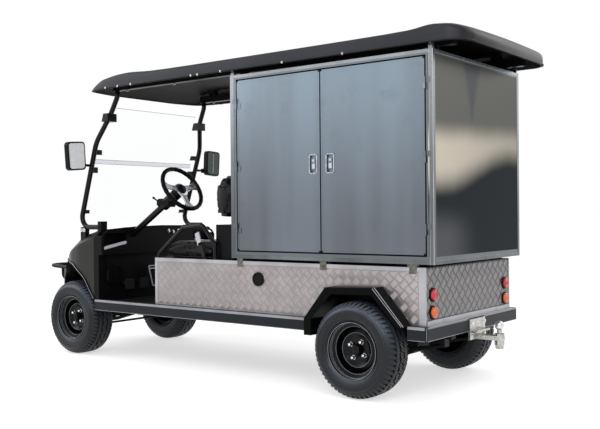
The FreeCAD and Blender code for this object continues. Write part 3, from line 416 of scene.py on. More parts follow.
def roof_plastic(name):
    """Outer skin of the roof, with painted shade on the faces that look up and back, going darker
    and rougher on the faces that look down.
    """
    shade = Shade(name)
    down = (shade.facing("z") * -1).between(0.2, 0.6)
    grained = shade.cells(260.0)
    haze = shade.cloud(2.2, 5.0)
    top = shade.mix(tone(46, 48, 53), tone(66, 69, 75), haze)
    # painted shade: faces that look up or back are darkened
    lit = shade.facing("z").between(0.25, 0.85) + (shade.facing("x") * -1).between(0.3, 0.9)
    body = shade.mix(top, tone(34, 34, 37), lit * 0.85)
    body = shade.mix(body, tone(7, 6, 6), down)
    return shade.finish(body, Roughness=haze * 0.12 + down * 0.25 + 0.34,
                        Normal=shade.bump(grained, 0.3, 0.0008), Specular_IOR_Level=0.15)


# Materials by the name of their finish, filled by mix_finishes
FINISHES = {}


def mix_finishes(look):
    """Make every finish once, from the user's colours."""
    charcoal = tuple(look.plastic_colour) + (1.0,)
    FINISHES.update({
        "black_plastic": moulded_plastic("Black moulded plastic", tone(10, 11, 13), shine=0.09),
        "flare_plastic": moulded_plastic("Flare plastic", tone(6, 7, 7), 0.34, 420.0, 0.0004, 0.05),
        "bar_plastic": moulded_plastic("Bumper plastic", charcoal, 0.40, 300.0),
        "gloss_steel": coated_steel("Gloss black steel", tone(7, 7, 8), 0.22, 0.12, 0.15),
        "rim_steel": coated_steel("Rim enamel", tone(5, 6, 7), 0.26, 0.06, 0.15),
        # painted highlight: pale beads on the black rim's edges and steps
        "rim_edge_highlight": coated_steel("Rim edge painted highlight", tone(128, 134, 141), 0.2, 0.5, 0.5),
        "rail_steel": coated_steel("Roof rail coating", tone(11, 11, 12), 0.36, 0.03, 0.12),
        "frame_steel": coated_steel("Chassis coating", tone(14, 14, 16), 0.45, 0.0),
        "spring_steel": coated_steel("Spring coating", tone(18, 18, 20), 0.5, 0.0),
        "cast_iron": cast_iron("Cast running gear", tone(21, 21, 23)),
        "rubber": tyre_rubber("Tyre rubber"),
        "grommet": moulded_plastic("Grommet rubber", tone(10, 10, 11), 0.6, 500.0),
        "door_steel": brushed_steel("Door sheet", tone(100, 102, 108), tone(143, 159, 172)),
        "box_steel": brushed_steel("Box sheet", tone(88, 92, 96), tone(138, 144, 148), 0.6),
        "box_edge": brushed_steel("Box angle", tone(86, 89, 91), tone(170, 176, 181), 1.0, 0.26),
        "rear_sheet": rear_sheet_steel("Rear sheet"),
        "plate_low": plate_aluminium("Tread plate ground", tone(146, 140, 141),
                                     tone(164, 157, 158)),
        # painted shade: the rear panel's plate is a darker copy of the side panels' tread plate
        "plate_back_shaded": plate_aluminium("Rear plate shaded ground", tone(90, 93, 96),
                                      tone(110, 112, 115)),
        # painted highlight: the raised ribs are a lighter copy of the plate's ground
        "plate_rib": plate_aluminium("Tread plate ribs painted highlight", tone(164, 158, 159),
                                     tone(186, 180, 180), 0.30),
        "trim": plate_aluminium("Aluminium trim", tone(160, 160, 165), tone(190, 190, 195),
                                0.3, 0.1),
        "edge_trim": plate_aluminium("Sill edge", tone(132, 133, 139), tone(164, 165, 171), 0.3),
        "cowl": cowl_paint("Cowl charcoal", tuple(look.cowl_colour) + (1.0,)),
        "mat": ribbed_rubber("Floor mat", tone(18, 18, 19), 0.018),
        "pedal": ribbed_rubber("Pedal rubber", tone(26, 27, 30), 0.008),
        "vinyl": seat_vinyl("Bench vinyl"),
        "clear": clear_sheet("Windshield sheet", (0.996, 0.998, 1.0, 1.0), 0.002),
        "clear_joint": clear_sheet("Windshield joint", tone(238, 240, 243), 0.03),
        "red": lamp_lens("Red lens", tone(222, 20, 40)),
        "amber": lamp_lens("Amber lens", tone(246, 112, 24)),
        "head_lens": lamp_lens("Headlamp lens", tone(205, 210, 216)),
        # painted reflection: the near glass is plain white, the far glass dark grey-green
        "mirror": mirror_painted_reflection("Near mirror painted reflection", tone(250, 251, 254), 0.0),
        "mirror_far_dark_reflection": mirror_painted_reflection("Far mirror painted dark reflection", tone(74, 80, 78), 0.9),
        "chrome": plated_steel("Chrome", tone(200, 203, 207), tone(232, 235, 238), 0.14),
        "zinc": plated_steel("Zinc plate", tone(150, 149, 145), tone(206, 204, 198)),
        "bronze": plated_steel("Heat-browned steel", tone(84, 84, 78), tone(130, 127, 118), 0.3),
        "silver_trim": plated_steel("Satin silver", tone(176, 180, 188), tone(214, 218, 226), 0.3),
        "pale_trim": moulded_plastic("Pale trim", tone(192, 192, 200), 0.34, 420.0, 0.0003, 0.3),
        "roof": roof_plastic("Roof skin"),
        "battery": moulded_plastic("Battery case", tone(34, 35, 38)),
    })


# CAD nodes by the finish that they get
NODE_FINISHES = {
    "frame_steel": ("chassis_frame", "deck_plate"),
    "cast_iron": ("rear_axle", "drive_motor", "front_axle", "knuckle_left", "knuckle_right",
                  "tie_rod"),
    "spring_steel": ("leaf_springs",),
    "mat": ("floor_plate",),
    "bar_plastic": ("side_sills", "rear_bumper"),
    "flare_plastic": ("rear_arches",),
    "black_plastic": ("seat_base", "front_liners", "fender_lips", "dash",
                      "front_bumper", "mirrors", "seat_support", "charge_port", "steering_wheel"),
    "plate_low": ("side_panels",),
    "plate_back_shaded": ("rear_panel",),
    "battery": ("battery_pack",),
    "box_steel": ("cargo_floor", "cargo_roof", "cargo_front", "cargo_frame"),
    "rear_sheet": ("cargo_rear",),
    "door_steel": ("door_left_front", "door_left_rear", "door_right_front", "door_right_rear"),
    "box_edge": ("cargo_feet",),
    "rail_steel": ("roof_frame",),
    "cowl": ("front_cowl",),
    "head_lens": ("headlamps",),
    "gloss_steel": ("brush_guard", "front_struts", "armrests", "steering_column"),
    "clear": ("windshield_lower", "windshield_upper"),
    "roof": ("roof_shell",),
    "vinyl": ("seat_cushion", "seat_back"),
    "pedal": ("pedals",),
    "red": ("tail_lamps",),
    "zinc": ("hitch",),
    "rim_steel": tuple(f"rim_{corner}" for corner in WHEELS),
    "rubber": tuple(f"tyre_{corner}" for corner in WHEELS),
}


# Mesh building

def circle(centre, up, side, radius, count):
    """Points of a circle about a centre, from up round towards side."""
    return [centre + (up * math.cos(turn) + side * math.sin(turn)) * radius
            for turn in (2 * math.pi * n / count for n in range(count))]


def at_turn(centre, turn, radius, reach=0.0):
    """Point at an angle about a centre in a wheel's plane, moved outwards by a reach."""
    return Vector(centre) + Vector((radius * math.cos(turn), reach, radius * math.sin(turn)))


def border(x, z, wide):
    """Four strips along the inside of a rectangle, each as a pair of x and a pair of z."""
    return (((x[0], x[0] + wide), z), ((x[1] - wide, x[1]), z),
            (x, (z[0], z[0] + wide)), (x, (z[1] - wide, z[1])))


def flow(points, count, closed=False):
    """Smooth line through points, count steps between each two."""
    total = len(points)
    spans = total if closed else total - 1
    line = []
    for span in range(spans):
        picks = []
        for shift in (-1, 0, 1, 2):
            index = span + shift
            index = index % total if closed else min(max(index, 0), total - 1)
            picks.append(points[index])
        for step in range(count):
            t = step / count
            line.append(tuple(
                0.5 * (2 * b + (c - a) * t + (2 * a - 5 * b + 4 * c - d) * t * t
                       + (3 * b - a - 3 * c + d) * t ** 3)
                for a, b, c, d in zip(*picks)))
    if not closed:
        line.append(tuple(points[-1]))
    return line


def rounded_loop(corners, radius):
    """Closed outline whose corners are replaced by quarter turns."""
    loop = []
    count = len(corners)
    for index in range(count):
        before = Vector(corners[index - 1])
        here = Vector(corners[index])
        after = Vector(corners[(index + 1) % count])
        start = here + (before - here).normalized() * radius
        end = here + (after - here).normalized() * radius
        for step in range(7):
            t = step / 6
            loop.append(tuple(start * (1 - t) ** 2 + here * 2 * t * (1 - t) + end * t * t))
    return loop


def softened(points, cut, rounds):
    """Open line with its inner corners cut again and again, so that they turn round."""
    line = [Vector(p) for p in points]
    for _ in range(rounds):
        fresh = [line[0]]
        for index in range(len(line) - 1):
            start, end = line[index], line[index + 1]
            if index > 0:
                fresh.append(start.lerp(end, cut))
            if index < len(line) - 2:
                fresh.append(end.lerp(start, cut))
        fresh.append(line[-1])
        line = fresh
    return [tuple(p) for p in line]


def eased(slices, count):
    """Straight steps between slices, with the knuckles at the inner slices eased twice."""
    rings = []
    for first, second in zip(slices, slices[1:]):
        for step in range(count):
            part = step / count
            rings.append(tuple(a + (b - a) * part for a, b in zip(first, second)))
    rings.append(tuple(slices[-1]))
    for _ in range(2):
        inner = [tuple(0.25 * a + 0.5 * b + 0.25 * c for a, b, c in zip(*three))
                 for three in zip(rings, rings[1:], rings[2:])]
        rings = [rings[0]] + inner + [rings[-1]]
    return rings


def linked(name, data):
    """New object with its data, in the scene."""
    made = bpy.data.objects.new(name, data)
    bpy.context.scene.collection.objects.link(made)
    return made


class Build:
    """A mesh under construction, in metres in the cart's own frame."""

    def __init__(self, name):
        self.name = name
        self.mesh = bmesh.new()
        self.paint = 0

    def corners(self, points):
        """One new vertex per point."""
        return [self.mesh.verts.new(p) for p in points]

    def face(self, corners):
        """Face over vertices, in the paint that is set."""
        made = self.mesh.faces.new(corners)
        made.material_index = self.paint
        return made

    def skin(self, rings, around=True, start=True, end=True):
        """Quads between rings of equal length; start and end close the two ends."""
        rows = [self.corners(ring) for ring in rings]
        count = len(rows[0])
        for first, second in zip(rows, rows[1:]):
            for index in range(count if around else count - 1):
                after = (index + 1) % count
                self.face([first[index], first[after], second[after], second[index]])
        if start:
            self.face(rows[0][::-1])
        if end:
            self.face(rows[-1])

    def turned(self, profile, centre, axis, count=48, start=True, end=True):
        """Profile of (along, radius) turned about an axis through a point."""
        along, up, side = frame_of(axis)
        centre = Vector(centre)
        rings = [circle(centre + along * reach, up, side, max(radius, 1e-5), count)
                 for reach, radius in profile]
        self.skin(rings, True, start, end)

    def tube(self, points, radius, count=12, closed=False):
        """Round tube along a smooth line of points."""
        line = [Vector(p) for p in points]
        total = len(line)
        rings = []
        up = None
        for index, spot in enumerate(line):
            before = line[index - 1] if index or closed else spot
            after = line[(index + 1) % total] if closed or index < total - 1 else spot
            ahead = (after - before).normalized()
            if up is None:
                up = ahead.orthogonal().normalized()
            up = (up - ahead * up.dot(ahead)).normalized()
            side = ahead.cross(up)
            rings.append(circle(spot, up, side, radius, count))
        if closed:
            rings.append(rings[0])
        self.skin(rings, True, not closed, not closed)

    def block(self, low, high, soft=0.0015, steps=2):
        """Block between two corners with rounded edges."""
        made = bmesh.ops.create_cube(self.mesh, size=1.0)
        low, high = Vector(low), Vector(high)
        size = high - low
        for corner in made["verts"]:
            corner.co = Vector(a * b for a, b in zip(corner.co, size)) + (low + high) / 2
        for face in {f for v in made["verts"] for f in v.link_faces}:
            face.material_index = self.paint
        edges = list({e for v in made["verts"] for e in v.link_edges})
        if soft:
            bmesh.ops.bevel(self.mesh, geom=edges, offset=soft, segments=steps, affect="EDGES",
                            material=-1)

    def strip(self, side, x, y, z, soft=0.0006):
        """Thin block on one side of the cart; y is counted outwards from the middle."""
        y = sorted((side * y[0], side * y[1]))
        self.block((x[0], y[0], z[0]), (x[1], y[1], z[1]), soft, 1)

    def line(self, start, end, radius, count=8):
        """Straight round bead between two points."""
        self.tube([start, end], radius, count)

    def slab(self, outline, normal, thick):
        """Flat outline in space, given thickness along a normal, closed all round."""
        shift = Vector(normal).normalized() * thick
        near = [Vector(p) for p in outline]
        self.skin([near, [p + shift for p in near]])

    def bolt(self, spot, normal, radius=0.008, height=0.006):
        """Washer and rounded hexagon head."""
        along, up, side = frame_of(normal)
        spot = Vector(spot)
        self.turned([(0, radius * 1.5), (0.0012, radius * 1.5), (0.0016, radius * 1.35)],
                    spot, normal, 16)
        self.skin([circle(spot + along * reach, up, side, radius * size, 6)
                   for reach, size in ((0.0014, 1.0), (height * 0.8, 1.0), (height, 0.82))])

    def rivet(self, spot, normal, radius=0.004):
        """Domed rivet head."""
        profile = [(0.0, radius), (radius * 0.25, radius * 0.95), (radius * 0.45, radius * 0.6),
                   (radius * 0.52, 0.0)]
        self.turned(profile, spot, normal, 10, False, False)

    def done(self):
        """The finished mesh as an object in the scene."""
        bmesh.ops.recalc_face_normals(self.mesh, faces=self.mesh.faces)
        mesh = bpy.data.meshes.new(self.name)
        self.mesh.to_mesh(mesh)
        self.mesh.free()
        return linked(self.name, mesh)

    def place(self, body, *finishes, smooth=35.0, slot=None, weld=True, replaces=()):
        """Turn the mesh into a piece that rides on a body of the cart."""
        if weld:
            bmesh.ops.remove_doubles(self.mesh, verts=self.mesh.verts, dist=0.00002)
        piece = self.done()
        for finish in finishes:
            piece.data.materials.append(FINISHES[finish])
        if smooth:
            shaded(piece, smooth)
        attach(piece, body)
        if replaces:
            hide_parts(*replaces)
        return piece


def frame_of(axis):
    """Unit vector of an axis, given as a letter or a vector, and two across it."""
    named = {"x": (1, 0, 0), "y": (0, 1, 0), "z": (0, 0, 1)}
    along = Vector(named[axis] if isinstance(axis, str) else axis).normalized()
    up = Vector((0, 0, 1)) if abs(along.z) < 0.9 else Vector((1, 0, 0))
    up = (up - along * up.dot(along)).normalized()
    return along, up, along.cross(up)


def settled(piece):
    """Apply a piece's modifiers to its mesh."""
    graph = bpy.context.evaluated_depsgraph_get()
    graph.update()
    old = piece.data
    piece.data = bpy.data.meshes.new_from_object(piece.evaluated_get(graph))
    piece.modifiers.clear()
    bpy.data.meshes.remove(old)


def shaded(piece, angle):
    """Smooth a mesh, with sharp edges above an angle."""
    piece.data.polygons.foreach_set("use_smooth", [True] * len(piece.data.polygons))
    piece.data.set_sharp_from_angle(angle=math.radians(angle))


# Sizes and colours that a user would change

def colour_choice(name, description, colour):
    return FloatVectorProperty(name=name, description=description, subtype="COLOR", size=3,
                               min=0.0, max=1.0, default=colour[:3])


def length_choice(name, description, length, low, high):
    return FloatProperty(name=name, description=description, default=length, min=low, max=high,
                         unit="LENGTH")


class CartLook(bpy.types.PropertyGroup):
    """Colours and small sizes of the cart's looks."""

    cowl_colour: colour_choice("Cowl colour", "Body colour of the front cowl", tone(31, 30, 28))
    plastic_colour: colour_choice("Bumper colour", "Colour of the sills and the rear bumper",
                                  tone(30, 33, 38))
    plate_cell: length_choice("Tread cell", "Side of one cell of the five-bar tread plate",
                              0.042, 0.015, 0.08)
    rib_height: length_choice("Rib height", "How far the plate's ribs stand up",
                              0.0014, 0.0005, 0.004)
    tread_depth: length_choice("Tread depth", "Depth of the tyre tread", 0.009, 0.003, 0.014)
    cushion_rise: length_choice("Cushion rise", "Most that a seat cushion may swell",
                                0.020, 0.0, 0.04)


class CartStage(bpy.types.PropertyGroup):
    """Floor and light around the cart."""

    floor_colour: colour_choice("Floor colour", "Colour of the plain floor", (0.80, 0.80, 0.80))
    key_power: FloatProperty(
        name="Key light", description="Power of the large softbox", default=120.0, min=0.0,
        unit="POWER")
    sky_level: FloatProperty(
        name="Sky level", description="Brightness of the world on the cart", default=0.62,
        min=0.0, max=2.0)


# Stage

CAMERA_SPOT = (-3.705, 4.355, 1.004)
CAMERA_YAW, CAMERA_PITCH, CAMERA_ROLL = -52.502, -0.226, -0.5
FOCAL_PIXELS = 852.83
PICTURE_PIXELS = 600
SENSOR_WIDTH = 36.0
FLOOR_REACH = 60.0


def camera_setup():
    """Camera where the cart was seen from, held by position, yaw, pitch and roll."""
    yaw, pitch, roll = (math.radians(a) for a in (CAMERA_YAW, CAMERA_PITCH, CAMERA_ROLL))
    ahead = Vector((math.cos(yaw) * math.cos(pitch), math.sin(yaw) * math.cos(pitch),
                    math.sin(pitch)))
    right = ahead.cross(Vector((0, 0, 1))).normalized()
    up = right.cross(ahead)
    tilted = right * math.cos(roll) + up * math.sin(roll)
    upright = up * math.cos(roll) - right * math.sin(roll)
    lens = bpy.data.cameras.new("Camera")
    lens.sensor_width = SENSOR_WIDTH
    lens.lens = FOCAL_PIXELS / PICTURE_PIXELS * SENSOR_WIDTH
    lens.clip_end = 200.0
    camera = linked("Camera", lens)
    turn = Matrix((tilted, upright, -ahead)).transposed()
    camera.matrix_world = Matrix.Translation(CAMERA_SPOT) @ turn.to_4x4()
    bpy.context.scene.camera = camera


def bright_rays(shade):
    """1 for rays that should see the plain white ground and sky."""
    rays = shade.node("LightPath", out="Is Camera Ray")
    for name in ("Is Glossy Ray", "Is Transmission Ray"):
        rays = rays.maths("MAXIMUM", rays, shade.node("LightPath", out=name))
    return rays


def floor_finish(colour):
    """Pale floor that keeps soft shadows and otherwise shows as white."""
    shade = Shade("Stage floor")
    pale = shade.toned(colour, 0.98, 1.0, shade.cloud(3.0, 3.0))
    matt = shade.node("BsdfDiffuse", {}, {"Color": pale})
    glow = shade.node("Emission", {}, {"Color": (1.0, 1.0, 1.0, 1.0),
                                       "Strength": bright_rays(shade) * 0.60})
    return shade.close(shade.node("AddShader", {}, {0: matt, 1: glow}))


def sky_setup(level):
    """World that lights the cart at a level and is seen as plain white."""
    shade = Shade("Stage sky", bpy.data.worlds)
    strength = shade.node("MapRange", {}, {"Value": bright_rays(shade), "To Min": level,
                                           "To Max": 1.0})
    glow = shade.node("Background", {}, {"Color": (1.0, 1.0, 1.0, 1.0), "Strength": strength})
    shade.node("OutputWorld", {}, {"Surface": glow})
    bpy.context.scene.world = shade.material


def softbox(name, spot, aim, width, height, power):
    """Rectangular area light at a spot, turned to a point."""
    lamp = bpy.data.lights.new(name, "AREA")
    lamp.shape = "RECTANGLE"
    lamp.size = width
    lamp.size_y = height
    lamp.energy = power
    stand = linked(name, lamp)
    stand.location = spot
    stand.rotation_euler = (Vector(aim) - Vector(spot)).to_track_quat("-Z", "Y").to_euler()


class CART_OT_stage(bpy.types.Operator):
    """Make the camera, the plain floor, the sky and the softboxes"""

    bl_idname = "cart.stage"
    bl_label = "Stage"

    def execute(self, context):
        stage = context.scene.cart_stage
        camera_setup()
        mesh = bpy.data.meshes.new("stage_floor")
        mesh.from_pydata([(x * FLOOR_REACH, y * FLOOR_REACH, 0)
                          for x, y in ((-1, -1), (1, -1), (1, 1), (-1, 1))], [], [(0, 1, 2, 3)])
        mesh.materials.append(floor_finish(tuple(stage.floor_colour) + (1.0,)))
        floor = linked("stage_floor", mesh)
        sky_setup(stage.sky_level)
        softbox("Key softbox", (-4.0, 4.5, 4.2), (0, 0, 0.9), 4.0, 2.5, stage.key_power)
        softbox("Fill softbox", (4.5, 3.0, 3.5), (0.3, 0, 0.8), 3.0, 2.5, stage.key_power * 0.5)
        softbox("Rear softbox", (-3.0, -5.0, 4.0), (0, 0, 0.9), 3.0, 2.5, stage.key_power * 0.4)
        context.scene.view_settings.view_transform = "Standard"
        return {"FINISHED"}


class CART_OT_finishes(bpy.types.Operator):
    """Mix the finishes and put them on the CAD nodes"""

    bl_idname = "cart.finishes"
    bl_label = "Finishes"

    def execute(self, context):
        mix_finishes(context.scene.cart_look)
        done = set()
        for finish, names in NODE_FINISHES.items():
            for name in names:
                for material_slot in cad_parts[name].material_slots:
                    material_slot.material = FINISHES[finish]
                done.add(name)
        left = set(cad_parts) - done
        if left:
            raise RuntimeError(f"no finish for {sorted(left)}")
        return {"FINISHED"}


# Wheels

TYRE_LINE = [(0.0740, 0.1526), (0.0835, 0.1545), (0.0905, 0.1600), (0.0925, 0.1625),
             (0.0960, 0.1660), (0.0985, 0.1740), (0.1008, 0.1860), (0.1018, 0.1980),
             (0.1012, 0.2090), (0.0988, 0.2190), (0.0940, 0.2280), (0.0865, 0.2360),
             (0.0770, 0.2420), (0.0640, 0.2465), (0.0420, 0.2495), (0.0, 0.2510)]


class Tread:
    """Lays blocks on a tyre: across is from its middle, turn is round it."""

    def __init__(self, build, centre):
        self.build = build
        self.centre = Vector(centre)

    def spot(self, across, turn, radius):
        return self.centre + Vector((radius * math.sin(turn), across, radius * math.cos(turn)))

    def block(self, rows, start, end, lean, taper):
        """Block over rows of (across, foot radius, top radius), from start to end round it."""
        rings = []
        for across, foot, top in rows:
            shift = lean * (across - rows[0][0])
            slack = taper / top
            rings.append([self.spot(across, start + shift, foot),
                          self.spot(across, start + shift + slack, top),
                          self.spot(across, end + shift - slack, top),
                          self.spot(across, end + shift, foot)])
        self.build.skin(rings)


TYRE_TOP = 0.2600
TREAD_PITCHES = 56


def tyre_mesh(build, centre, depth):
    """Carcass with sidewall rings, three rows of centre blocks and shoulder lugs."""
    half = flow(TYRE_LINE, 2)
    whole = [(-a, r) for a, r in half] + half[::-1][1:]
    build.turned(whole, centre, "y", 96, False, False)
    for side in (1, -1):
        for across, radius, wide in ((0.1012, 0.2145, 0.0022), (0.1004, 0.1800, 0.0016),
                                     (0.0958, 0.1655, 0.0020)):
            ring = [(across - 0.002, radius - wide), (across + 0.0013, radius),
                    (across - 0.002, radius + wide)]
            build.turned([(side * a, r) for a, r in ring], centre, "y", 96, False, False)
    tread = Tread(build, centre)
    top = TYRE_TOP
    foot = top - depth
    step = 2 * math.pi / TREAD_PITCHES
    for number in range(TREAD_PITCHES):
        turn = number * step
        odd = number % 2
        for part in (0, 1):
            near = turn + part * step * 0.47
            far = near + step * 0.40
            swing = 0.010 * 0.4 if odd else -0.010 * 0.4
            tread.block([(-0.0165 + swing, foot, top), (0.0125 + swing, foot, top)],
                        near, far, 2.2, 0.0008)
            for side in (1, -1):
                edge = 0.0245 + (0.002 if odd else 0.0)
                shoulder = [(side * edge, foot, top - 0.0004), (side * 0.0500, foot, top - 0.0016)]
                tread.block(shoulder, near + step * 0.2, far + step * 0.2, -3.0 * side, 0.0008)
        for side in (1, -1):
            length, drop = (0.0915, 0.2345) if odd else (0.0875, 0.2385)
            tread.block([(side * 0.0565, foot, top - 0.0024), (side * 0.0700, foot - 0.005, 0.2535),
                         (side * 0.0800, 0.2380, 0.2460), (side * length, drop - 0.008, drop)],
                        turn + step * 0.12, turn + step * 0.72, 1.2 * side, 0.0010)


class CART_OT_tyres(bpy.types.Operator):
    """Build the four all-terrain tyres over the CAD tyres"""

    bl_idname = "cart.tyres"
    bl_label = "Tyres"

    def execute(self, context):
        depth = context.scene.cart_look.tread_depth
        for corner, (along, across, _) in WHEELS.items():
            build = Build(f"tread_{corner}")
            tyre_mesh(build, (along, across, AXLE_HEIGHT), depth)
            build.place(f"wheel_{corner}", "rubber", smooth=32.0, weld=False, slot="rubber_tyre",
                        replaces=(f"tyre_{corner}",))
        return {"FINISHED"}


STUD_RADIUS = 0.0508
VALVE_TURN = 2.2


class CART_OT_rims(bpy.types.Operator):
    """Add lug nuts, hub caps, pale edge beads of painted highlight and valves to the rims"""

    bl_idname = "cart.rims"
    bl_label = "Rims"

    def execute(self, context):
        for corner, (along, across, out) in WHEELS.items():
            centre = Vector((along, across, AXLE_HEIGHT))
            build = Build(f"wheel_nuts_{corner}")
            for number in range(4):
                turn = math.radians(31 + 90 * number)
                spot = at_turn(centre, turn, STUD_RADIUS, out * 0.0262)
                up = at_turn((0, 0, 0), turn, 1.0)
                side = at_turn((0, 0, 0), turn + math.pi / 2, 1.0)
                build.turned([(0.0, 0.0135), (out * 0.003, 0.0125)], spot, "y", 18)
                build.skin([circle(spot + Vector((0, out * reach, 0)), up, side, radius, 6)
                            for reach, radius in ((0.003, 0.0112), (0.0175, 0.0112),
                                                  (0.0190, 0.0100))])
                build.turned([(out * 0.0188, 0.0098), (out * 0.0225, 0.0080),
                              (out * 0.0245, 0.0045), (out * 0.0250, 0.0)], spot, "y", 18)
            build.place(f"wheel_{corner}", "chrome", slot="hitch_steel")
            build = Build(f"rim_trim_{corner}")
            cap = ((0.0420, 0.0298), (0.0460, 0.0290), (0.0560, 0.0262), (0.0610, 0.0200),
                   (0.0625, 0.0))
            build.turned([(out * reach, radius) for reach, radius in cap], centre, "y", 32)
            # painted highlight: pale rings along the rim's edges and steps
            build.paint = 1
            for reach, radius, wide in ((0.0905, 0.1522, 0.0016), (0.0780, 0.1476, 0.0010),
                                        (0.0690, 0.1476, 0.0010), (0.0600, 0.1480, 0.0014),
                                        (0.0490, 0.1280, 0.0014), (0.0380, 0.0925, 0.0010)):
                middle = centre + Vector((0, out * reach, 0))
                build.tube(circle(middle, Vector((0, 0, 1)), Vector((1, 0, 0)), radius, 72),
                           wide, 8, True)
            build.paint = 0
            for number in range(4):
                spot = at_turn(centre, math.radians(90 * number), 0.0800)
                for lift, size in ((0.0265, 0.0105), (0.0268, 0.0085)):
                    build.turned([(out * (lift - 0.001), size), (out * lift, size - 0.0008)],
                                 spot, "y", 16)
            build.turned([(0, 0.0060), (out * 0.010, 0.0050), (out * 0.026, 0.0040),
                          (out * 0.036, 0.0042), (out * 0.037, 0.0)],
                         at_turn(centre, VALVE_TURN, 0.1180, out * 0.030), "y", 12)
            build.place(f"wheel_{corner}", "rim_steel", "rim_edge_highlight", slot="rim_steel")
        return {"FINISHED"}


# Skins of the cowl and the roof

# A slice: along, crown height, shoulder y and z, side y and z, lower edge
COWL_SLICES = [
    (1.005, 0.905, 0.500, 0.885, 0.557, 0.835, 0.407),
    (1.180, 0.893, 0.490, 0.845, 0.557, 0.780, 0.407),
    (1.290, 0.872, 0.455, 0.805, 0.535, 0.735, 0.407),
    (1.390, 0.838, 0.400, 0.768, 0.472, 0.702, 0.560),
    (1.490, 0.795, 0.330, 0.738, 0.397, 0.682, 0.640),
    (1.600, 0.745, 0.262, 0.706, 0.314, 0.655, 0.615),
    (1.700, 0.690, 0.205, 0.660, 0.235, 0.628, 0.590),
]
ARCH_EDGE = [(1.004, 0.407), (1.050, 0.467), (1.104, 0.540), (1.176, 0.595), (1.265, 0.644),
             (1.390, 0.660), (1.470, 0.664)]
ARCH_FRONT = [(1.560, 0.590), (1.655, 0.520)]


def skin_ring(slice_at, cut, rounds):
    """Open ring across the cart, from the right lower edge over the crown to the left."""
    along, top, shoulder_y, shoulder_z, side_y, side_z, low = slice_at
    half = softened([(side_y, low), (side_y, side_z), (shoulder_y, shoulder_z),
                     (shoulder_y * 0.5, shoulder_z + (top - shoulder_z) * 0.75), (0.0, top)],
                    cut, rounds)
    left = [(along, y, z) for y, z in half]
    right = [(along, -y, z) for y, z in half[::-1][1:]]
    return left + right


COWL_RINGS = eased(COWL_SLICES, 6)
SKIN_CUT = 0.035


def cowl_width(along):
    """Half width of the cowl's side at a distance along the cart."""
    for first, second in zip(COWL_RINGS, COWL_RINGS[1:]):
        if first[0] <= along <= second[0]:
            part = (along - first[0]) / (second[0] - first[0])
            return first[4] + (second[4] - first[4]) * part
    return COWL_RINGS[0][4] if along < COWL_RINGS[0][0] else COWL_RINGS[-1][4]


def hollowed(piece, thick):
    """Give an open skin its thickness, inwards."""
    wall = piece.modifiers.new("wall", "SOLIDIFY")
    wall.thickness = thick
    wall.offset = -1.0
    wall.use_even_offset = True
    settled(piece)


class CART_OT_cowl(bpy.types.Operator):
    """Build the smooth front cowl with its wheel arches and rolled lips"""

    bl_idname = "cart.cowl"
    bl_label = "Front cowl"

    def execute(self, context):
        build = Build("cowl_skin")
        rings = [skin_ring(s, SKIN_CUT, 2) for s in COWL_RINGS]
        build.skin(rings, False, False, False)
        build.face(build.corners(rings[-1]))
        skin = build.place("chassis", "cowl", slot="cowl_paint", replaces=("front_cowl",))
        hollowed(skin, 0.010)
        knife = Build("arch_knife")
        line = [(0.990, 0.35), (0.994, 0.407)]
        line += flow([(x - 0.006, z + 0.010) for x, z in ARCH_EDGE[1:]], 6)
        line += [(x + 0.006, z + 0.008) for x, z in ARCH_FRONT] + [(1.665, 0.35)]
        for low, high in ((0.20, 0.70), (-0.70, -0.20)):
            knife.skin([[(x, low, z) for x, z in line], [(x, high, z) for x, z in line]])
        tool = knife.done()
        slit = skin.modifiers.new("arches", "BOOLEAN")
        slit.operation = "DIFFERENCE"
        slit.object = tool
        slit.solver = "EXACT"
        settled(skin)
        bpy.data.meshes.remove(tool.data)
        shaded(skin, 32.0)
        build = Build("arch_lips")
        edge = flow([(x, z + 0.004) for x, z in ARCH_EDGE], 8)
        edge += flow([(1.470, 0.668), (1.500, 0.650), (1.560, 0.598), (1.600, 0.566)], 6)[1:]
        for paint, proud, lift, radius, count in ((0, 0.001, 0.0, 0.0075, 10),
                                                  (1, 0.0075, 0.003, 0.0022, 6)):
            build.paint = paint
            for side in (1, -1):
                build.tube([(x, side * (cowl_width(x) + proud), z + lift) for x, z in edge],
                           radius, count)
        build.place("chassis", "black_plastic", "edge_trim", slot="trim_black",
                    replaces=("fender_lips",))
        build = Build("cowl_seam")
        seam = skin_ring(COWL_RINGS[1], SKIN_CUT, 2)
        trimmed = [(x, y, z + 0.0005) for x, y, z in seam[4:-4]]
        build.tube(trimmed, 0.0018, 8)
        build.place("chassis", "grommet", slot="trim_black")
        return {"FINISHED"}


# A slice: along, crown height, shoulder y and z, side y and z
ROOF_SLICES = [
    (-1.810, 1.895, 0.370, 1.891, 0.430, 1.883), (-1.785, 1.929, 0.470, 1.921, 0.520, 1.905),
    (-1.725, 1.949, 0.520, 1.939, 0.566, 1.921), (-1.620, 1.953, 0.530, 1.945, 0.570, 1.935),
    (-1.480, 1.937, 0.530, 1.925, 0.570, 1.915), (0.387, 1.937, 0.530, 1.925, 0.570, 1.915),
    (0.637, 1.947, 0.530, 1.941, 0.570, 1.931), (0.767, 1.943, 0.528, 1.935, 0.570, 1.925),
    (0.907, 1.927, 0.520, 1.919, 0.566, 1.907), (0.997, 1.903, 0.490, 1.891, 0.548, 1.875),
    (1.062, 1.879, 0.430, 1.871, 0.515, 1.859), (1.107, 1.859, 0.230, 1.857, 0.300, 1.854),
]
ROOF_LOW = 1.845


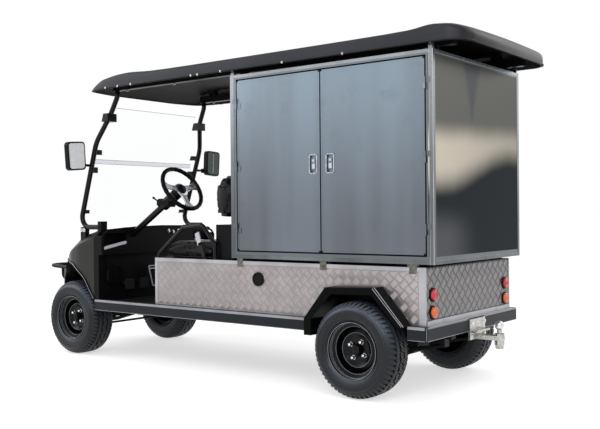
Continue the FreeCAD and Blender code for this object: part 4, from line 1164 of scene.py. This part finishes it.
class CART_OT_roof(bpy.types.Operator):
    """Build the smooth canopy roof with its rolled lower edge and rail bolts"""

    bl_idname = "cart.roof"
    bl_label = "Roof"

    def execute(self, context):
        build = Build("roof_skin")
        lines = [skin_ring(ring + (ROOF_LOW,), 0.22, 3) for ring in eased(ROOF_SLICES, 5)]
        build.skin(lines, False, True, True)
        skin = build.place("chassis", "roof", slot="roof_plastic", replaces=("roof_shell",))
        hollowed(skin, 0.014)
        shaded(skin, 40.0)
        build = Build("roof_roll")
        inner = CAD_BOX[0].x + 0.006
        right = [(max(line[0][0], inner), line[0][1], ROOF_LOW + 0.005) for line in lines]
        left = [(x, -y, z) for x, y, z in right[::-1]]
        build.tube(right + left, 0.0055, 8, True)
        build.place("chassis", "roof", slot="roof_plastic")
        build = Build("roof_bolts")
        for along in (-1.53, -0.57, 0.33, 0.79):
            for side in (1, -1):
                build.bolt((along, side * 0.430, ROOF_LOW - 0.0005), (0, 0, -1), 0.009, 0.008)
        for along in (-1.100, -0.685, -0.210, -0.018, 0.038, 0.592, 0.722, 0.845):
            for side in (1, -1):
                build.bolt((along, side * 0.5750, ROOF_LOW + 0.004), (0, side, 0), 0.0050,
                           0.004)
        build.place("chassis", "zinc", slot="hitch_steel")
        return {"FINISHED"}


# Tread plate and body trim

SIDE_FACE = 0.5160
REAR_FACE = -1.5600
SIDE_PLATE = [(-1.523, 0.410), (-1.523, 0.686), (0.411, 0.686), (0.411, 0.414),
              (-0.842, 0.414), (-0.988, 0.594), (-1.309, 0.605), (-1.478, 0.410)]
REAR_PLATE = [(-0.503, 0.434), (0.503, 0.434), (0.503, 0.708), (-0.503, 0.708)]
# A rib: its foot along and across, and the faces between the foot and the two ridge ends
RIB_FOOT = ((1, 0), (0.55, 1), (-0.55, 1), (-1, 0), (-0.55, -1), (0.55, -1))
RIB_FACES = ((0, 1, 6), (1, 2, 7, 6), (2, 3, 7), (3, 4, 7), (4, 5, 6, 7), (5, 0, 6))


def room_around(outline, x, z, margin):
    """True if a point is inside a closed outline and clear of its edges."""
    inside = False
    nearest = 1.0
    for (x0, z0), (x1, z1) in zip(outline, outline[1:] + outline[:1]):
        if (z0 > z) != (z1 > z) and x < x0 + (x1 - x0) * (z - z0) / (z1 - z0):
            inside = not inside
        length = (x1 - x0) ** 2 + (z1 - z0) ** 2
        part = min(max(((x - x0) * (x1 - x0) + (z - z0) * (z1 - z0)) / length, 0), 1)
        nearest = min(nearest, math.hypot(x - x0 - part * (x1 - x0), z - z0 - part * (z1 - z0)))
    return inside and nearest > margin


def five_bar(build, outline, point, normal, cell, rise):
    """Checker of five-rib cells inside an outline; point turns plate coordinates into space."""
    normal = Vector(normal)
    reach = cell * math.sqrt(0.5)
    low_x, high_x = min(p[0] for p in outline), max(p[0] for p in outline)
    low_z, high_z = min(p[1] for p in outline), max(p[1] for p in outline)
    columns = int((high_x - low_x) / reach) + 2
    rows = int((high_z - low_z) / reach) + 2
    for column in range(columns):
        for row in range(rows):
            if (column + row) % 2:
                continue
            middle_x = low_x + column * reach
            middle_z = low_z + row * reach
            lean = 1 if row % 2 else -1
            run = (math.sqrt(0.5), lean * math.sqrt(0.5))
            step = (-run[1], run[0])
            for rib in range(5):
                shift = (rib - 2) * cell * 0.185
                x = middle_x + step[0] * shift
                z = middle_z + step[1] * shift
                reaches = [n / 8 - 1 for n in range(17)
                           if room_around(outline, x + run[0] * cell * 0.42 * (n / 8 - 1),
                                          z + run[1] * cell * 0.42 * (n / 8 - 1), 0.0018)]
                if len(reaches) < 5:
                    continue
                half = cell * 0.21 * (reaches[-1] - reaches[0])
                wide = cell * 0.062
                x += run[0] * cell * 0.21 * (reaches[-1] + reaches[0])
                z += run[1] * cell * 0.21 * (reaches[-1] + reaches[0])
                foot = [(x + run[0] * half * a + step[0] * wide * b,
                         z + run[1] * half * a + step[1] * wide * b) for a, b in RIB_FOOT]
                ridge = [(x + run[0] * half * a, z + run[1] * half * a) for a in (0.7, -0.7)]
                spots = build.corners([point(a, b) for a, b in foot])
                spots += build.corners([Vector(point(a, b)) + normal * rise for a, b in ridge])
                for corners in RIB_FACES:
                    build.face([spots[n] for n in corners])


class CART_OT_tread_plate(bpy.types.Operator):
    """Raise the five-bar ribs on the side and rear panels"""

    bl_idname = "cart.tread_plate"
    bl_label = "Tread plate"

    def execute(self, context):
        look = context.scene.cart_look
        for side, tag in SIDES:
            build = Build(f"plate_ribs_{tag}")
            five_bar(build, SIDE_PLATE, lambda a, b: (a, side * SIDE_FACE, b), (0, side, 0),
                     look.plate_cell, look.rib_height)
            build.place("chassis", "plate_rib", smooth=0, weld=False, slot="diamond_plate")
        build = Build("plate_ribs_rear")
        five_bar(build, REAR_PLATE, lambda a, b: (REAR_FACE, a, b), (-1, 0, 0),
                 look.plate_cell * 1.2, look.rib_height)
        build.place("chassis", "plate_rib", smooth=0, weld=False, slot="diamond_plate")
        return {"FINISHED"}


class CART_OT_body_trim(bpy.types.Operator):
    """Fit the plain aluminium strips, the corner angles and their rivets"""

    bl_idname = "cart.body_trim"
    bl_label = "Body trim"

    def execute(self, context):
        build = Build("body_strips")
        for side in (1, -1):
            for x, z in (((-1.5620, 0.4350), (0.6870, 0.7095)),
                         ((-1.5620, -1.5240), (0.4070, 0.6868)),
                         ((0.4120, 0.4350), (0.4070, 0.6868)),
                         ((-0.8420, 0.4118), (0.4070, 0.4130))):
                build.strip(side, x, (SIDE_FACE - 0.001, SIDE_FACE + 0.0022), z, 0.0007)
            build.strip(side, (-1.5624, -1.5590), (0.5040, 0.5180), (0.4070, 0.7093))
        build.block((-1.5665, -0.5035, 0.4080), (-1.5636, 0.5035, 0.4330), 0.0006, 1)
        build.block((-1.5880, -0.5100, 0.4066), (-1.5640, 0.5100, 0.4086), 0.0006, 1)
        build.place("chassis", "trim", slot="plain_aluminium", weld=False)
        build = Build("body_rivets")
        for side in (1, -1):
            spots = [(-1.50 + 0.19 * n, 0.6985) for n in range(11)]
            spots += [(-1.543, 0.45 + 0.10 * n) for n in range(3)]
            spots += [(0.10 + 0.15 * n, 0.4210) for n in range(-6, 3)]
            for x, z in spots:
                build.rivet((x, side * 0.5178, z), (0, side, 0))
        for number in range(8):
            build.rivet((-1.5664, -0.455 + 0.13 * number, 0.4200), (-1, 0, 0))
        build.place("chassis", "trim", slot="hitch_steel", weld=False)
        low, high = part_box("side_sills")
        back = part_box("rear_bumper")[0].x
        build = Build("sill_edges")
        foot = (low.z - 0.0004, low.z + 0.0026)
        for side in (1, -1):
            across = (high.y - 0.0006, high.y + 0.0012)
            for x in ((low.x + 0.002, high.x - 0.002), (back + 0.012, back + 0.113)):
                build.strip(side, x, across, (0.3925, 0.4078), 0.0005)
                build.strip(side, x, across, foot, 0.0005)
            for z in (foot, (0.3990, 0.4076)):
                build.strip(side, (back - 0.0012, back + 0.0006), (0.1000, 0.5460), z, 0.0005)
            edge = side * (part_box("rear_arches")[1].y - 0.0004)
            # painted highlight: two pale lines along the edge of the rear arch flare
            for shift in (0.0, 0.0125):
                build.line((-1.3085 + shift, edge, 0.6020 - shift * 0.4),
                           (-1.4830 + shift, edge, 0.4085), 0.0014, 6)
            # painted highlight: a pale line down the bumper's rear corner
            x, y = back + 0.0027, side * (high.y - 0.0027)
            build.line((x, y, low.z), (x, y, 0.4070), 0.0012, 6)
        build.place("chassis", "edge_trim", slot="plain_aluminium", weld=False)
        build = Build("box_brackets")
        for side in (1, -1):
            for along in (-1.491, -0.920, -0.306):
                build.strip(side, (along - 0.022, along + 0.022), (0.5176, 0.5206),
                            (0.6760, 0.7440), 0.0008)
                build.bolt((along, side * 0.5204, 0.6930), (0, side, 0), 0.0065, 0.005)
                build.bolt((along, side * 0.5204, 0.7270), (0, side, 0), 0.0050, 0.004)
        build.place("chassis", "bronze", slot="hitch_steel", weld=False)
        return {"FINISHED"}


DOOR_FACE = 0.5295
DOOR_HEIGHTS = (0.773, 1.786)
LOCK_HEIGHTS = (1.211, 1.321)


class CART_OT_cargo_trim(bpy.types.Operator):
    """Edge the cargo box with folded angles and dress its doors and locks"""

    bl_idname = "cart.cargo_trim"
    bl_label = "Cargo box trim"

    def execute(self, context):
        low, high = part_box("cargo_floor")[0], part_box("cargo_roof")[1]
        build = Build("cargo_angles")
        thin = 0.0016
        inner = (low.x + 0.0202, high.x - 0.0262)
        for side in (1, -1):
            for x, z in (((low.x, low.x + 0.020), (low.z, high.z)),
                         ((high.x - 0.026, high.x), (low.z, high.z)),
                         (inner, (low.z + 0.0005, low.z + 0.022)),
                         (inner, (high.z - 0.018, high.z - 0.0005))):
                build.strip(side, x, (high.y - 0.0005, high.y + thin), z)
        for at, sign in ((low.x, -1), (high.x, 1)):
            x = sorted((at - sign * 0.0005, at + sign * thin))
            edge = high.y - 0.022
            for side in (1, -1):
                build.strip(side, x, (edge, high.y + thin - 0.0003), (low.z, high.z))
            for z in ((low.z + 0.0005, low.z + 0.020), (high.z - 0.018, high.z - 0.0005)):
                build.strip(1, x, (-edge + 0.0002, edge - 0.0002), z)
        # painted highlight: pale beads down each rear corner of the box and the edge of its angle
        build.paint = 1
        for side in (1, -1):
            for x, proud, radius in ((low.x - 0.0008, 0.0008, 0.0020),
                                     (low.x + 0.021, 0.0012, 0.0014)):
                y = side * (high.y + proud)
                build.line((x, y, low.z), (x, y, high.z), radius)
        build.place("chassis", "box_edge", "trim", slot="stainless", weld=False)
        build = Build("box_hangers")
        for side in (1, -1):
            for x in ((low.x + 0.002, low.x + 0.026), (high.x - 0.026, high.x - 0.002)):
                build.strip(side, x, (0.5080, 0.5290), (high.z - 0.001, 1.9000), 0.0012)
                build.bolt(((x[0] + x[1]) / 2, side * 0.5288, 1.8560), (0, side, 0), 0.005,
                           0.004)
        build.place("chassis", "box_edge", slot="stainless", weld=False)
        for side, tag in SIDES:
            for end, x, lock in (("front", (-0.912, -0.302), -0.866),
                                 ("rear", (-1.573, -0.920), -0.981)):
                build = Build(f"door_{tag}_{end}_trim")
                for across, up in border(x, DOOR_HEIGHTS, 0.010):
                    build.strip(side, across, (DOOR_FACE, DOOR_FACE + 0.0017), up)
                build.paint = 1
                for across, up in border((lock - 0.028, lock + 0.028), LOCK_HEIGHTS, 0.006):
                    build.strip(side, across, (DOOR_FACE, DOOR_FACE + 0.0035), up)
                build.paint = 2
                build.turned([(0.0, 0.0075), (side * 0.0030, 0.0070), (side * 0.0034, 0.0)],
                             (lock, side * 0.5270, 1.286), "y", 20)
                build.strip(side, (lock - 0.010, lock + 0.010), (0.5270, 0.5290),
                            (1.240, 1.268))
                build.place(f"door_{tag}_{end}", "door_steel", "silver_trim", "chrome",
                            slot="stainless")
        return {"FINISHED"}


# Cabin

CUSHION_PRESSURE = 4.0
CUSHION_VOXEL = 0.0065
CLOTH_FRAMES = 20


def swollen(piece, rise):
    """Remesh a closed form, blow it up with cloth and keep each point within a rise."""
    net = piece.modifiers.new("net", "REMESH")
    net.mode = "VOXEL"
    net.voxel_size = CUSHION_VOXEL
    settled(piece)
    rest = [v.co.copy() for v in piece.data.vertices]
    cloth = piece.modifiers.new("cloth", "CLOTH")
    cloth.settings.quality = 4
    cloth.settings.mass = 0.35
    cloth.settings.tension_stiffness = 18.0
    cloth.settings.compression_stiffness = 18.0
    cloth.settings.bending_stiffness = 1.2
    cloth.settings.use_pressure = True
    cloth.settings.uniform_pressure_force = CUSHION_PRESSURE
    cloth.settings.effector_weights.gravity = 0.0
    cloth.point_cache.frame_start = 1
    cloth.point_cache.frame_end = CLOTH_FRAMES
    for number in range(1, CLOTH_FRAMES + 1):
        bpy.context.scene.frame_set(number)
    graph = bpy.context.evaluated_depsgraph_get()
    shape = piece.evaluated_get(graph).to_mesh()
    grown = [v.co.copy() for v in shape.vertices]
    piece.evaluated_get(graph).to_mesh_clear()
    piece.modifiers.clear()
    bpy.context.scene.frame_set(1)
    for vertex, start, end in zip(piece.data.vertices, rest, grown):
        move = end - start
        if move.length > rise:
            move *= rise / move.length
        vertex.co = start + move
    piece.data.update()


def groove(piece, distance, normal, depth=0.007, wide=0.011):
    """Press sewn channels into a cushion where a point's distance from a seam is small."""
    for vertex in piece.data.vertices:
        reach = distance(vertex.co)
        if reach is not None and reach < wide:
            press = 0.5 + 0.5 * math.cos(math.pi * reach / wide)
            vertex.co -= Vector(normal) * depth * press
    piece.data.update()


class CART_OT_seat(bpy.types.Operator):
    """Blow up the bench cushion and the backrest, sew them and add the piping"""

    bl_idname = "cart.seat"
    bl_label = "Seat"

    def execute(self, context):
        rise = context.scene.cart_look.cushion_rise
        build = Build("bench_cushion")
        build.block((-0.058, -0.474, 0.714), (0.398, 0.474, 0.796), 0.030, 4)
        bench = build.place("chassis", "vinyl", slot="seat_vinyl", replaces=("seat_cushion",))
        swollen(bench, rise)

        def bench_seam(spot):
            if spot.z < 0.77:
                return None
            cross = min(abs(spot.y - at) for at in (-0.235, 0.0, 0.235))
            return min(cross, abs(spot.x + 0.010), abs(spot.x - 0.350))
        groove(bench, bench_seam, (0, 0, 1))
        shaded(bench, 60.0)
        build = Build("backrest_pad")
        outline = [(-0.468, 0.965), (0.468, 0.965), (0.468, 1.180), (0.405, 1.242),
                   (-0.405, 1.242), (-0.468, 1.180)]
        build.slab([(-0.150, y, z) for y, z in outline], (1, 0, 0), 0.100)
        bmesh.ops.bevel(build.mesh, geom=list(build.mesh.edges), offset=0.026, segments=3,
                        affect="EDGES")
        back = build.place("chassis", "vinyl", slot="seat_vinyl", replaces=("seat_back",))
        swollen(back, rise)

        def back_seam(spot):
            if spot.x < -0.080:
                return None
            cross = min(abs(spot.y - at) for at in (-0.24, 0.0, 0.24))
            return min(cross, abs(spot.z - 1.025))
        groove(back, back_seam, (1, 0, 0))
        shaded(back, 60.0)
        build = Build("seat_piping")
        corners = [(-0.050, 0.470), (0.392, 0.470), (0.392, -0.470), (-0.050, -0.470)]
        closed = flow(rounded_loop(corners, 0.045), 2, True)
        for height in (0.7955, 0.7200):
            build.tube([(x, y, height) for x, y in closed], 0.0035, 8, True)
        build.place("chassis", "vinyl", slot="seat_vinyl")
        build = Build("belt_buckles")
        strap = ((0.004, 0.690), (0.034, 0.690), (0.080, 0.806), (0.054, 0.816))
        buckle = ((0.050, 0.800), (0.082, 0.792), (0.106, 0.866), (0.074, 0.880))
        for inner in (0.4755, -0.4830):
            for paint, outline in enumerate((strap, buckle)):
                build.paint = paint
                build.slab([(x, inner, z) for x, z in outline], (0, 1, 0), 0.0075)
        build.place("chassis", "vinyl", "pale_trim", slot="seat_vinyl", weld=False)
        return {"FINISHED"}


class CART_OT_windshield(bpy.types.Operator):
    """Edge the two clear sheets, join them and fit the bolts on the struts"""

    bl_idname = "cart.windshield"
    bl_label = "Windshield trim"

    def execute(self, context):
        build = Build("sheet_edges")
        for x, z, half, thick in ((1.0915, 1.3510, 0.474, 0.0012),
                                  (1.0820, 1.3800, 0.470, 0.0014),
                                  (0.9640, 1.7390, 0.411, 0.0014)):
            build.line((x, half, z), (x, -half, z), thick)
        build.place("chassis", "edge_trim", slot="plain_aluminium")
        build = Build("sheet_joint")
        build.slab([(1.0913, 0.474, 1.3515), (1.0823, 0.470, 1.3795), (1.0823, -0.470, 1.3795),
                    (1.0913, -0.474, 1.3515)], (-1, 0, -0.3), 0.0015)
        build.place("chassis", "clear_joint", slot="clear_sheet")
        build = Build("strut_bolts")
        for side in (1, -1):
            for x, y, z in ((1.110, 0.470, 1.306), (1.085, 0.474, 1.427), (1.010, 0.456, 1.655),
                            (1.216, 0.474, 1.012)):
                build.bolt((x - 0.020, side * (y + 0.020), z), (0, side, 0), 0.007, 0.007)
            for x in (1.150, 1.178):
                build.bolt((x, side * 0.5222, 0.884), (0, side, 0), 0.009, 0.008)
        build.place("chassis", "chrome", slot="hitch_steel")
        return {"FINISHED"}


GLASS_FACE = 1.0272


class CART_OT_mirrors(bpy.types.Operator):
    """Set the mirror glasses into their cases"""

    bl_idname = "cart.mirrors"
    bl_label = "Mirrors"

    def execute(self, context):
        glass = rounded_loop([(0.606, 1.312), (0.728, 1.301), (0.741, 1.475), (0.614, 1.485)],
                             0.024)
        rim = rounded_loop([(0.602, 1.308), (0.732, 1.297), (0.745, 1.479), (0.610, 1.489)],
                           0.026)
        for side, tag in SIDES:
            build = Build(f"mirror_glass_{tag}")
            build.slab([(GLASS_FACE, side * y, z) for y, z in glass], (1, 0, 0), 0.002)
            # painted reflection: white glass on the near side, dark glass on the far side
            build.place("chassis", "mirror" if side > 0 else "mirror_far_dark_reflection")
            build = Build(f"mirror_rim_{tag}")
            build.tube([(GLASS_FACE + 0.0003, side * y, z) for y, z in rim], 0.0035, 8, True)
            if side < 0:
                build.paint = 1
                x = GLASS_FACE - 0.001
                build.line((x, -0.6660, 1.316), (x, -0.6740, 1.468), 0.0022)
            build.place("chassis", "black_plastic", "silver_trim", slot="mirror_case")
        return {"FINISHED"}


WHEEL_HUB = Vector((0.430, 0.270, 1.162))
COLUMN_LEAN = math.radians(32)


class CART_OT_steering_wheel(bpy.types.Operator):
    """Build the steering wheel with its grip, spokes and blank hub"""

    bl_idname = "cart.steering_wheel"
    bl_label = "Steering wheel"

    def execute(self, context):
        down = Vector((math.cos(COLUMN_LEAN), 0, -math.sin(COLUMN_LEAN)))
        low = Vector((-math.sin(COLUMN_LEAN), 0, -math.cos(COLUMN_LEAN)))
        side = down.cross(low)

        def spot(turn, radius, depth):
            radial = low * math.cos(turn) + side * math.sin(turn)
            return WHEEL_HUB + radial * radius + down * depth

        build = Build("steering_rim")
        rings = []
        for number in range(144):
            turn = 2 * math.pi * number / 144
            thick = 0.0150 - 0.0011 * max(0.0, math.cos(turn * 24))
            radial = low * math.cos(turn) + side * math.sin(turn)
            rings.append(circle(spot(turn, 0.159, 0), radial, down, thick, 16))
        build.skin(rings + [rings[0]], True, False, False)
        cap = [(-0.012, 0.0), (-0.011, 0.020), (-0.006, 0.031), (0.004, 0.034), (0.008, 0.034)]
        build.turned(cap, WHEEL_HUB, down, 40, False, True)
        build.turned([(0.016, 0.040), (0.024, 0.036), (0.058, 0.032)], WHEEL_HUB, down, 40)
        build.place("steering_wheel", "black_plastic", slot="trim_black",
                    replaces=("steering_wheel",))
        build = Build("steering_spokes")
        build.turned([(0.004, 0.036), (0.005, 0.046), (0.010, 0.049), (0.018, 0.046)],
                     WHEEL_HUB, down, 40)
        for turn in (0.0, math.radians(100), math.radians(-100)):
            across = low * -math.sin(turn) + side * math.cos(turn)
            rings = []
            for reach, wide, depth in ((0.034, 0.034, 0.010), (0.056, 0.024, 0.010),
                                       (0.085, 0.020, 0.008), (0.115, 0.023, 0.005),
                                       (0.135, 0.032, 0.002), (0.150, 0.046, 0.000)):
                middle = spot(turn, reach, depth)
                rings.append([middle + across * a * wide + down * b for a, b in (
                    (-1, 0.002), (-0.85, -0.004), (0.85, -0.004), (1, 0.002), (0.85, 0.006),
                    (-0.85, 0.006))])
            build.skin(rings)
        build.place("steering_wheel", "silver_trim", slot="trim_black", weld=False)
        build = Build("column_cover")
        build.block((0.512, 0.232, 1.040), (0.652, 0.308, 1.098), 0.012, 3)
        start = Vector((0.648, 0.285, 1.082))
        build.tube(flow([start, start + Vector((0.016, 0.004, 0.008)),
                         start + Vector((0.030, 0.012, 0.020))], 4), 0.0050, 10)
        build.turned([(-0.008, 0.004), (-0.005, 0.008), (0.004, 0.0085), (0.008, 0.005)],
                     start + Vector((0.032, 0.013, 0.022)), (0.75, 0.3, 0.55), 16)
        build.place("chassis", "black_plastic", slot="trim_black", weld=False)
        return {"FINISHED"}


SHELF_FACE = 0.9190
PEDAL_FACE = 0.8985


class CART_OT_dash(bpy.types.Operator):
    """Trim the dash: shelf strips, edge roll, switches and pedal edges"""

    bl_idname = "cart.dash"
    bl_label = "Dash trim"

    def execute(self, context):
        build = Build("shelf_lips")
        for side in (1, -1):
            lip = [(side * 0.541, 0.7545), (side * 0.333, 0.7545), (side * 0.333, 0.7860),
                   (side * 0.541, 0.7560)]
            build.paint = 0
            build.slab([(SHELF_FACE, y, z) for y, z in lip], (1, 0, 0), 0.004)
            build.paint = 1
            bar = [(side * 0.536, 0.7520), (side * 0.344, 0.7860), (side * 0.338, 0.8010),
                   (side * 0.350, 0.8060), (side * 0.528, 0.7740), (side * 0.540, 0.7620)]
            build.slab([(SHELF_FACE - 0.0035, y, z) for y, z in bar], (1, 0, 0), 0.006)
        build.place("chassis", "black_plastic", "pale_trim", slot="trim_black", weld=False)
        build = Build("dash_roll")
        slice_at = (0.922, 0.905, 0.500, 0.885, 0.557, 0.835, 0.715)
        build.tube(skin_ring(slice_at, SKIN_CUT, 2), 0.0060, 8)
        for side in (1, -1):
            loop = rounded_loop([(side * 0.332, 0.753), (side * 0.542, 0.753),
                                 (side * 0.542, 0.866), (side * 0.332, 0.866)], 0.016)
            build.tube([(SHELF_FACE + 0.0005, y, z) for y, z in loop], 0.0030, 8, True)
        build.place("chassis", "black_plastic", slot="trim_black")
        build = Build("dash_switches")
        for across, height in ((-0.067, 0.868), (-0.113, 0.860), (-0.165, 0.866)):
            build.turned([(0, 0.014), (-0.006, 0.013), (-0.008, 0.009), (-0.012, 0.008),
                          (-0.013, 0.0)], (0.920, across, height), "x", 24)
        build.place("chassis", "silver_trim", slot="hitch_steel")
        build = Build("pedal_edges")
        loop = [(0.150, 0.620), (0.112, 0.475), (0.082, 0.475), (0.055, 0.620)]
        build.tube([(PEDAL_FACE, y, z) for y, z in rounded_loop(loop, 0.010)], 0.0042, 8, True)
        build.line((PEDAL_FACE, 0.145, 0.600), (PEDAL_FACE, 0.060, 0.600), 0.0036)
        build.place("chassis", "pale_trim", slot="hitch_steel")
        return {"FINISHED"}


CHARGE_PORT = (-0.448, SIDE_FACE, 0.605)


class CART_OT_lamps(bpy.types.Operator):
    """Build the ribbed tail lamps in their grommets and the headlamp rings"""

    bl_idname = "cart.lamps"
    bl_label = "Lamps"

    def execute(self, context):
        build = Build("tail_lenses")
        for side in (1, -1):
            for paint, height in ((1, 0.565), (2, 0.474)):
                centre = (REAR_FACE, side * 0.441, height)
                build.paint = 0
                build.turned([(0, 0.0365), (-0.006, 0.0365), (-0.009, 0.0345), (-0.010, 0.0315),
                              (-0.006, 0.0300)], centre, "x", 40, True, False)
                build.paint = paint
                lens = [(-0.006, 0.0305), (-0.016, 0.0302), (-0.019, 0.0285)]
                for ring in range(6):
                    radius = 0.0260 - 0.0038 * ring
                    lens += [(-0.0205 - 0.0003 * ring, radius), (-0.0192 - 0.0003 * ring,
                                                                 radius - 0.0019)]
                lens.append((-0.0220, 0.0))
                build.turned(lens, centre, "x", 40, False, False)
                build.paint = 3
                for turn in (0.6, 0.6 + math.pi):
                    build.turned([(-0.0195, 0.0024), (-0.0222, 0.0020), (-0.0224, 0.0)],
                                 (centre[0], centre[1] + 0.0235 * math.cos(turn),
                                  centre[2] + 0.0235 * math.sin(turn)), "x", 10)
        build.place("chassis", "grommet", "red", "amber", "chrome", slot="lamp_lens",
                    replaces=("tail_lamps",))
        build = Build("headlamp_rings")
        for side in (1, -1):
            build.turned([(0.0, 0.0440), (0.012, 0.0435), (0.018, 0.0410), (0.017, 0.0385),
                          (0.010, 0.0380)], (1.722, side * 0.140, 0.533), "x", 48, False, False)
        build.place("chassis", "chrome", slot="hitch_steel")
        build = Build("charge_flap")
        build.turned([(0.0, 0.041), (0.010, 0.041), (0.0145, 0.037), (0.0145, 0.029),
                      (0.0120, 0.0275), (0.0120, 0.0)], CHARGE_PORT, "y", 40)
        for turn in (45, 135, 225, 315):
            build.turned([(0.0140, 0.0030), (0.0158, 0.0026), (0.0160, 0.0)],
                         at_turn(CHARGE_PORT, math.radians(turn), 0.033), "y", 10)
        build.place("chassis", "grommet", slot="trim_black", replaces=("charge_port",))
        return {"FINISHED"}


TOW_BALL = (-1.730, 0, 0.370)
BALL_RADIUS = 0.0252


class CART_OT_hitch(bpy.types.Operator):
    """Bolt the hitch plate on and polish the ball"""

    bl_idname = "cart.hitch"
    bl_label = "Hitch trim"

    def execute(self, context):
        build = Build("hitch_bolts")
        for y in (-0.075, 0.075):
            for z in (0.312, 0.380):
                build.bolt((-1.6012, y, z), (-1, 0, 0), 0.011, 0.010)
        build.place("chassis", "chrome", slot="hitch_steel")
        build = Build("tow_ball_skin")
        profile = [(BALL_RADIUS * math.cos(turn), BALL_RADIUS * math.sin(turn))
                   for turn in (math.pi * n / 24 for n in range(21))]
        build.turned(profile, TOW_BALL, "z", 36, False, False)
        build.place("chassis", "chrome", slot="hitch_steel")
        return {"FINISHED"}


OPERATORS = (
    CART_OT_stage, CART_OT_finishes, CART_OT_tyres, CART_OT_rims, CART_OT_cowl, CART_OT_roof,
    CART_OT_tread_plate, CART_OT_body_trim, CART_OT_cargo_trim, CART_OT_seat,
    CART_OT_windshield, CART_OT_mirrors, CART_OT_steering_wheel, CART_OT_dash, CART_OT_lamps,
    CART_OT_hitch,
)


class CART_PT_panel(bpy.types.Panel):
    """Lists the cart's pieces in the order they are built"""

    bl_idname = "CART_PT_panel"
    bl_label = "Utility cart"
    bl_space_type = "VIEW_3D"
    bl_region_type = "UI"
    bl_category = "Cart"

    def draw(self, context):
        layout = self.layout
        for group in (context.scene.cart_look, context.scene.cart_stage):
            for name in group.__annotations__:
                layout.prop(group, name)
        for operator in OPERATORS:
            layout.operator(operator.bl_idname)


CLASSES = (CartLook, CartStage) + OPERATORS + (CART_PT_panel,)


def register():
    for entry in CLASSES:
        bpy.utils.register_class(entry)
    bpy.types.Scene.cart_look = PointerProperty(type=CartLook)
    bpy.types.Scene.cart_stage = PointerProperty(type=CartStage)


def unregister():
    del bpy.types.Scene.cart_stage
    del bpy.types.Scene.cart_look
    for entry in reversed(CLASSES):
        bpy.utils.unregister_class(entry)


def main():
    """Build every piece in order."""
    register()
    for operator in OPERATORS:
        group, name = operator.bl_idname.split(".")
        getattr(getattr(bpy.ops, group), name)()


if __name__ == "__main__":
    main()
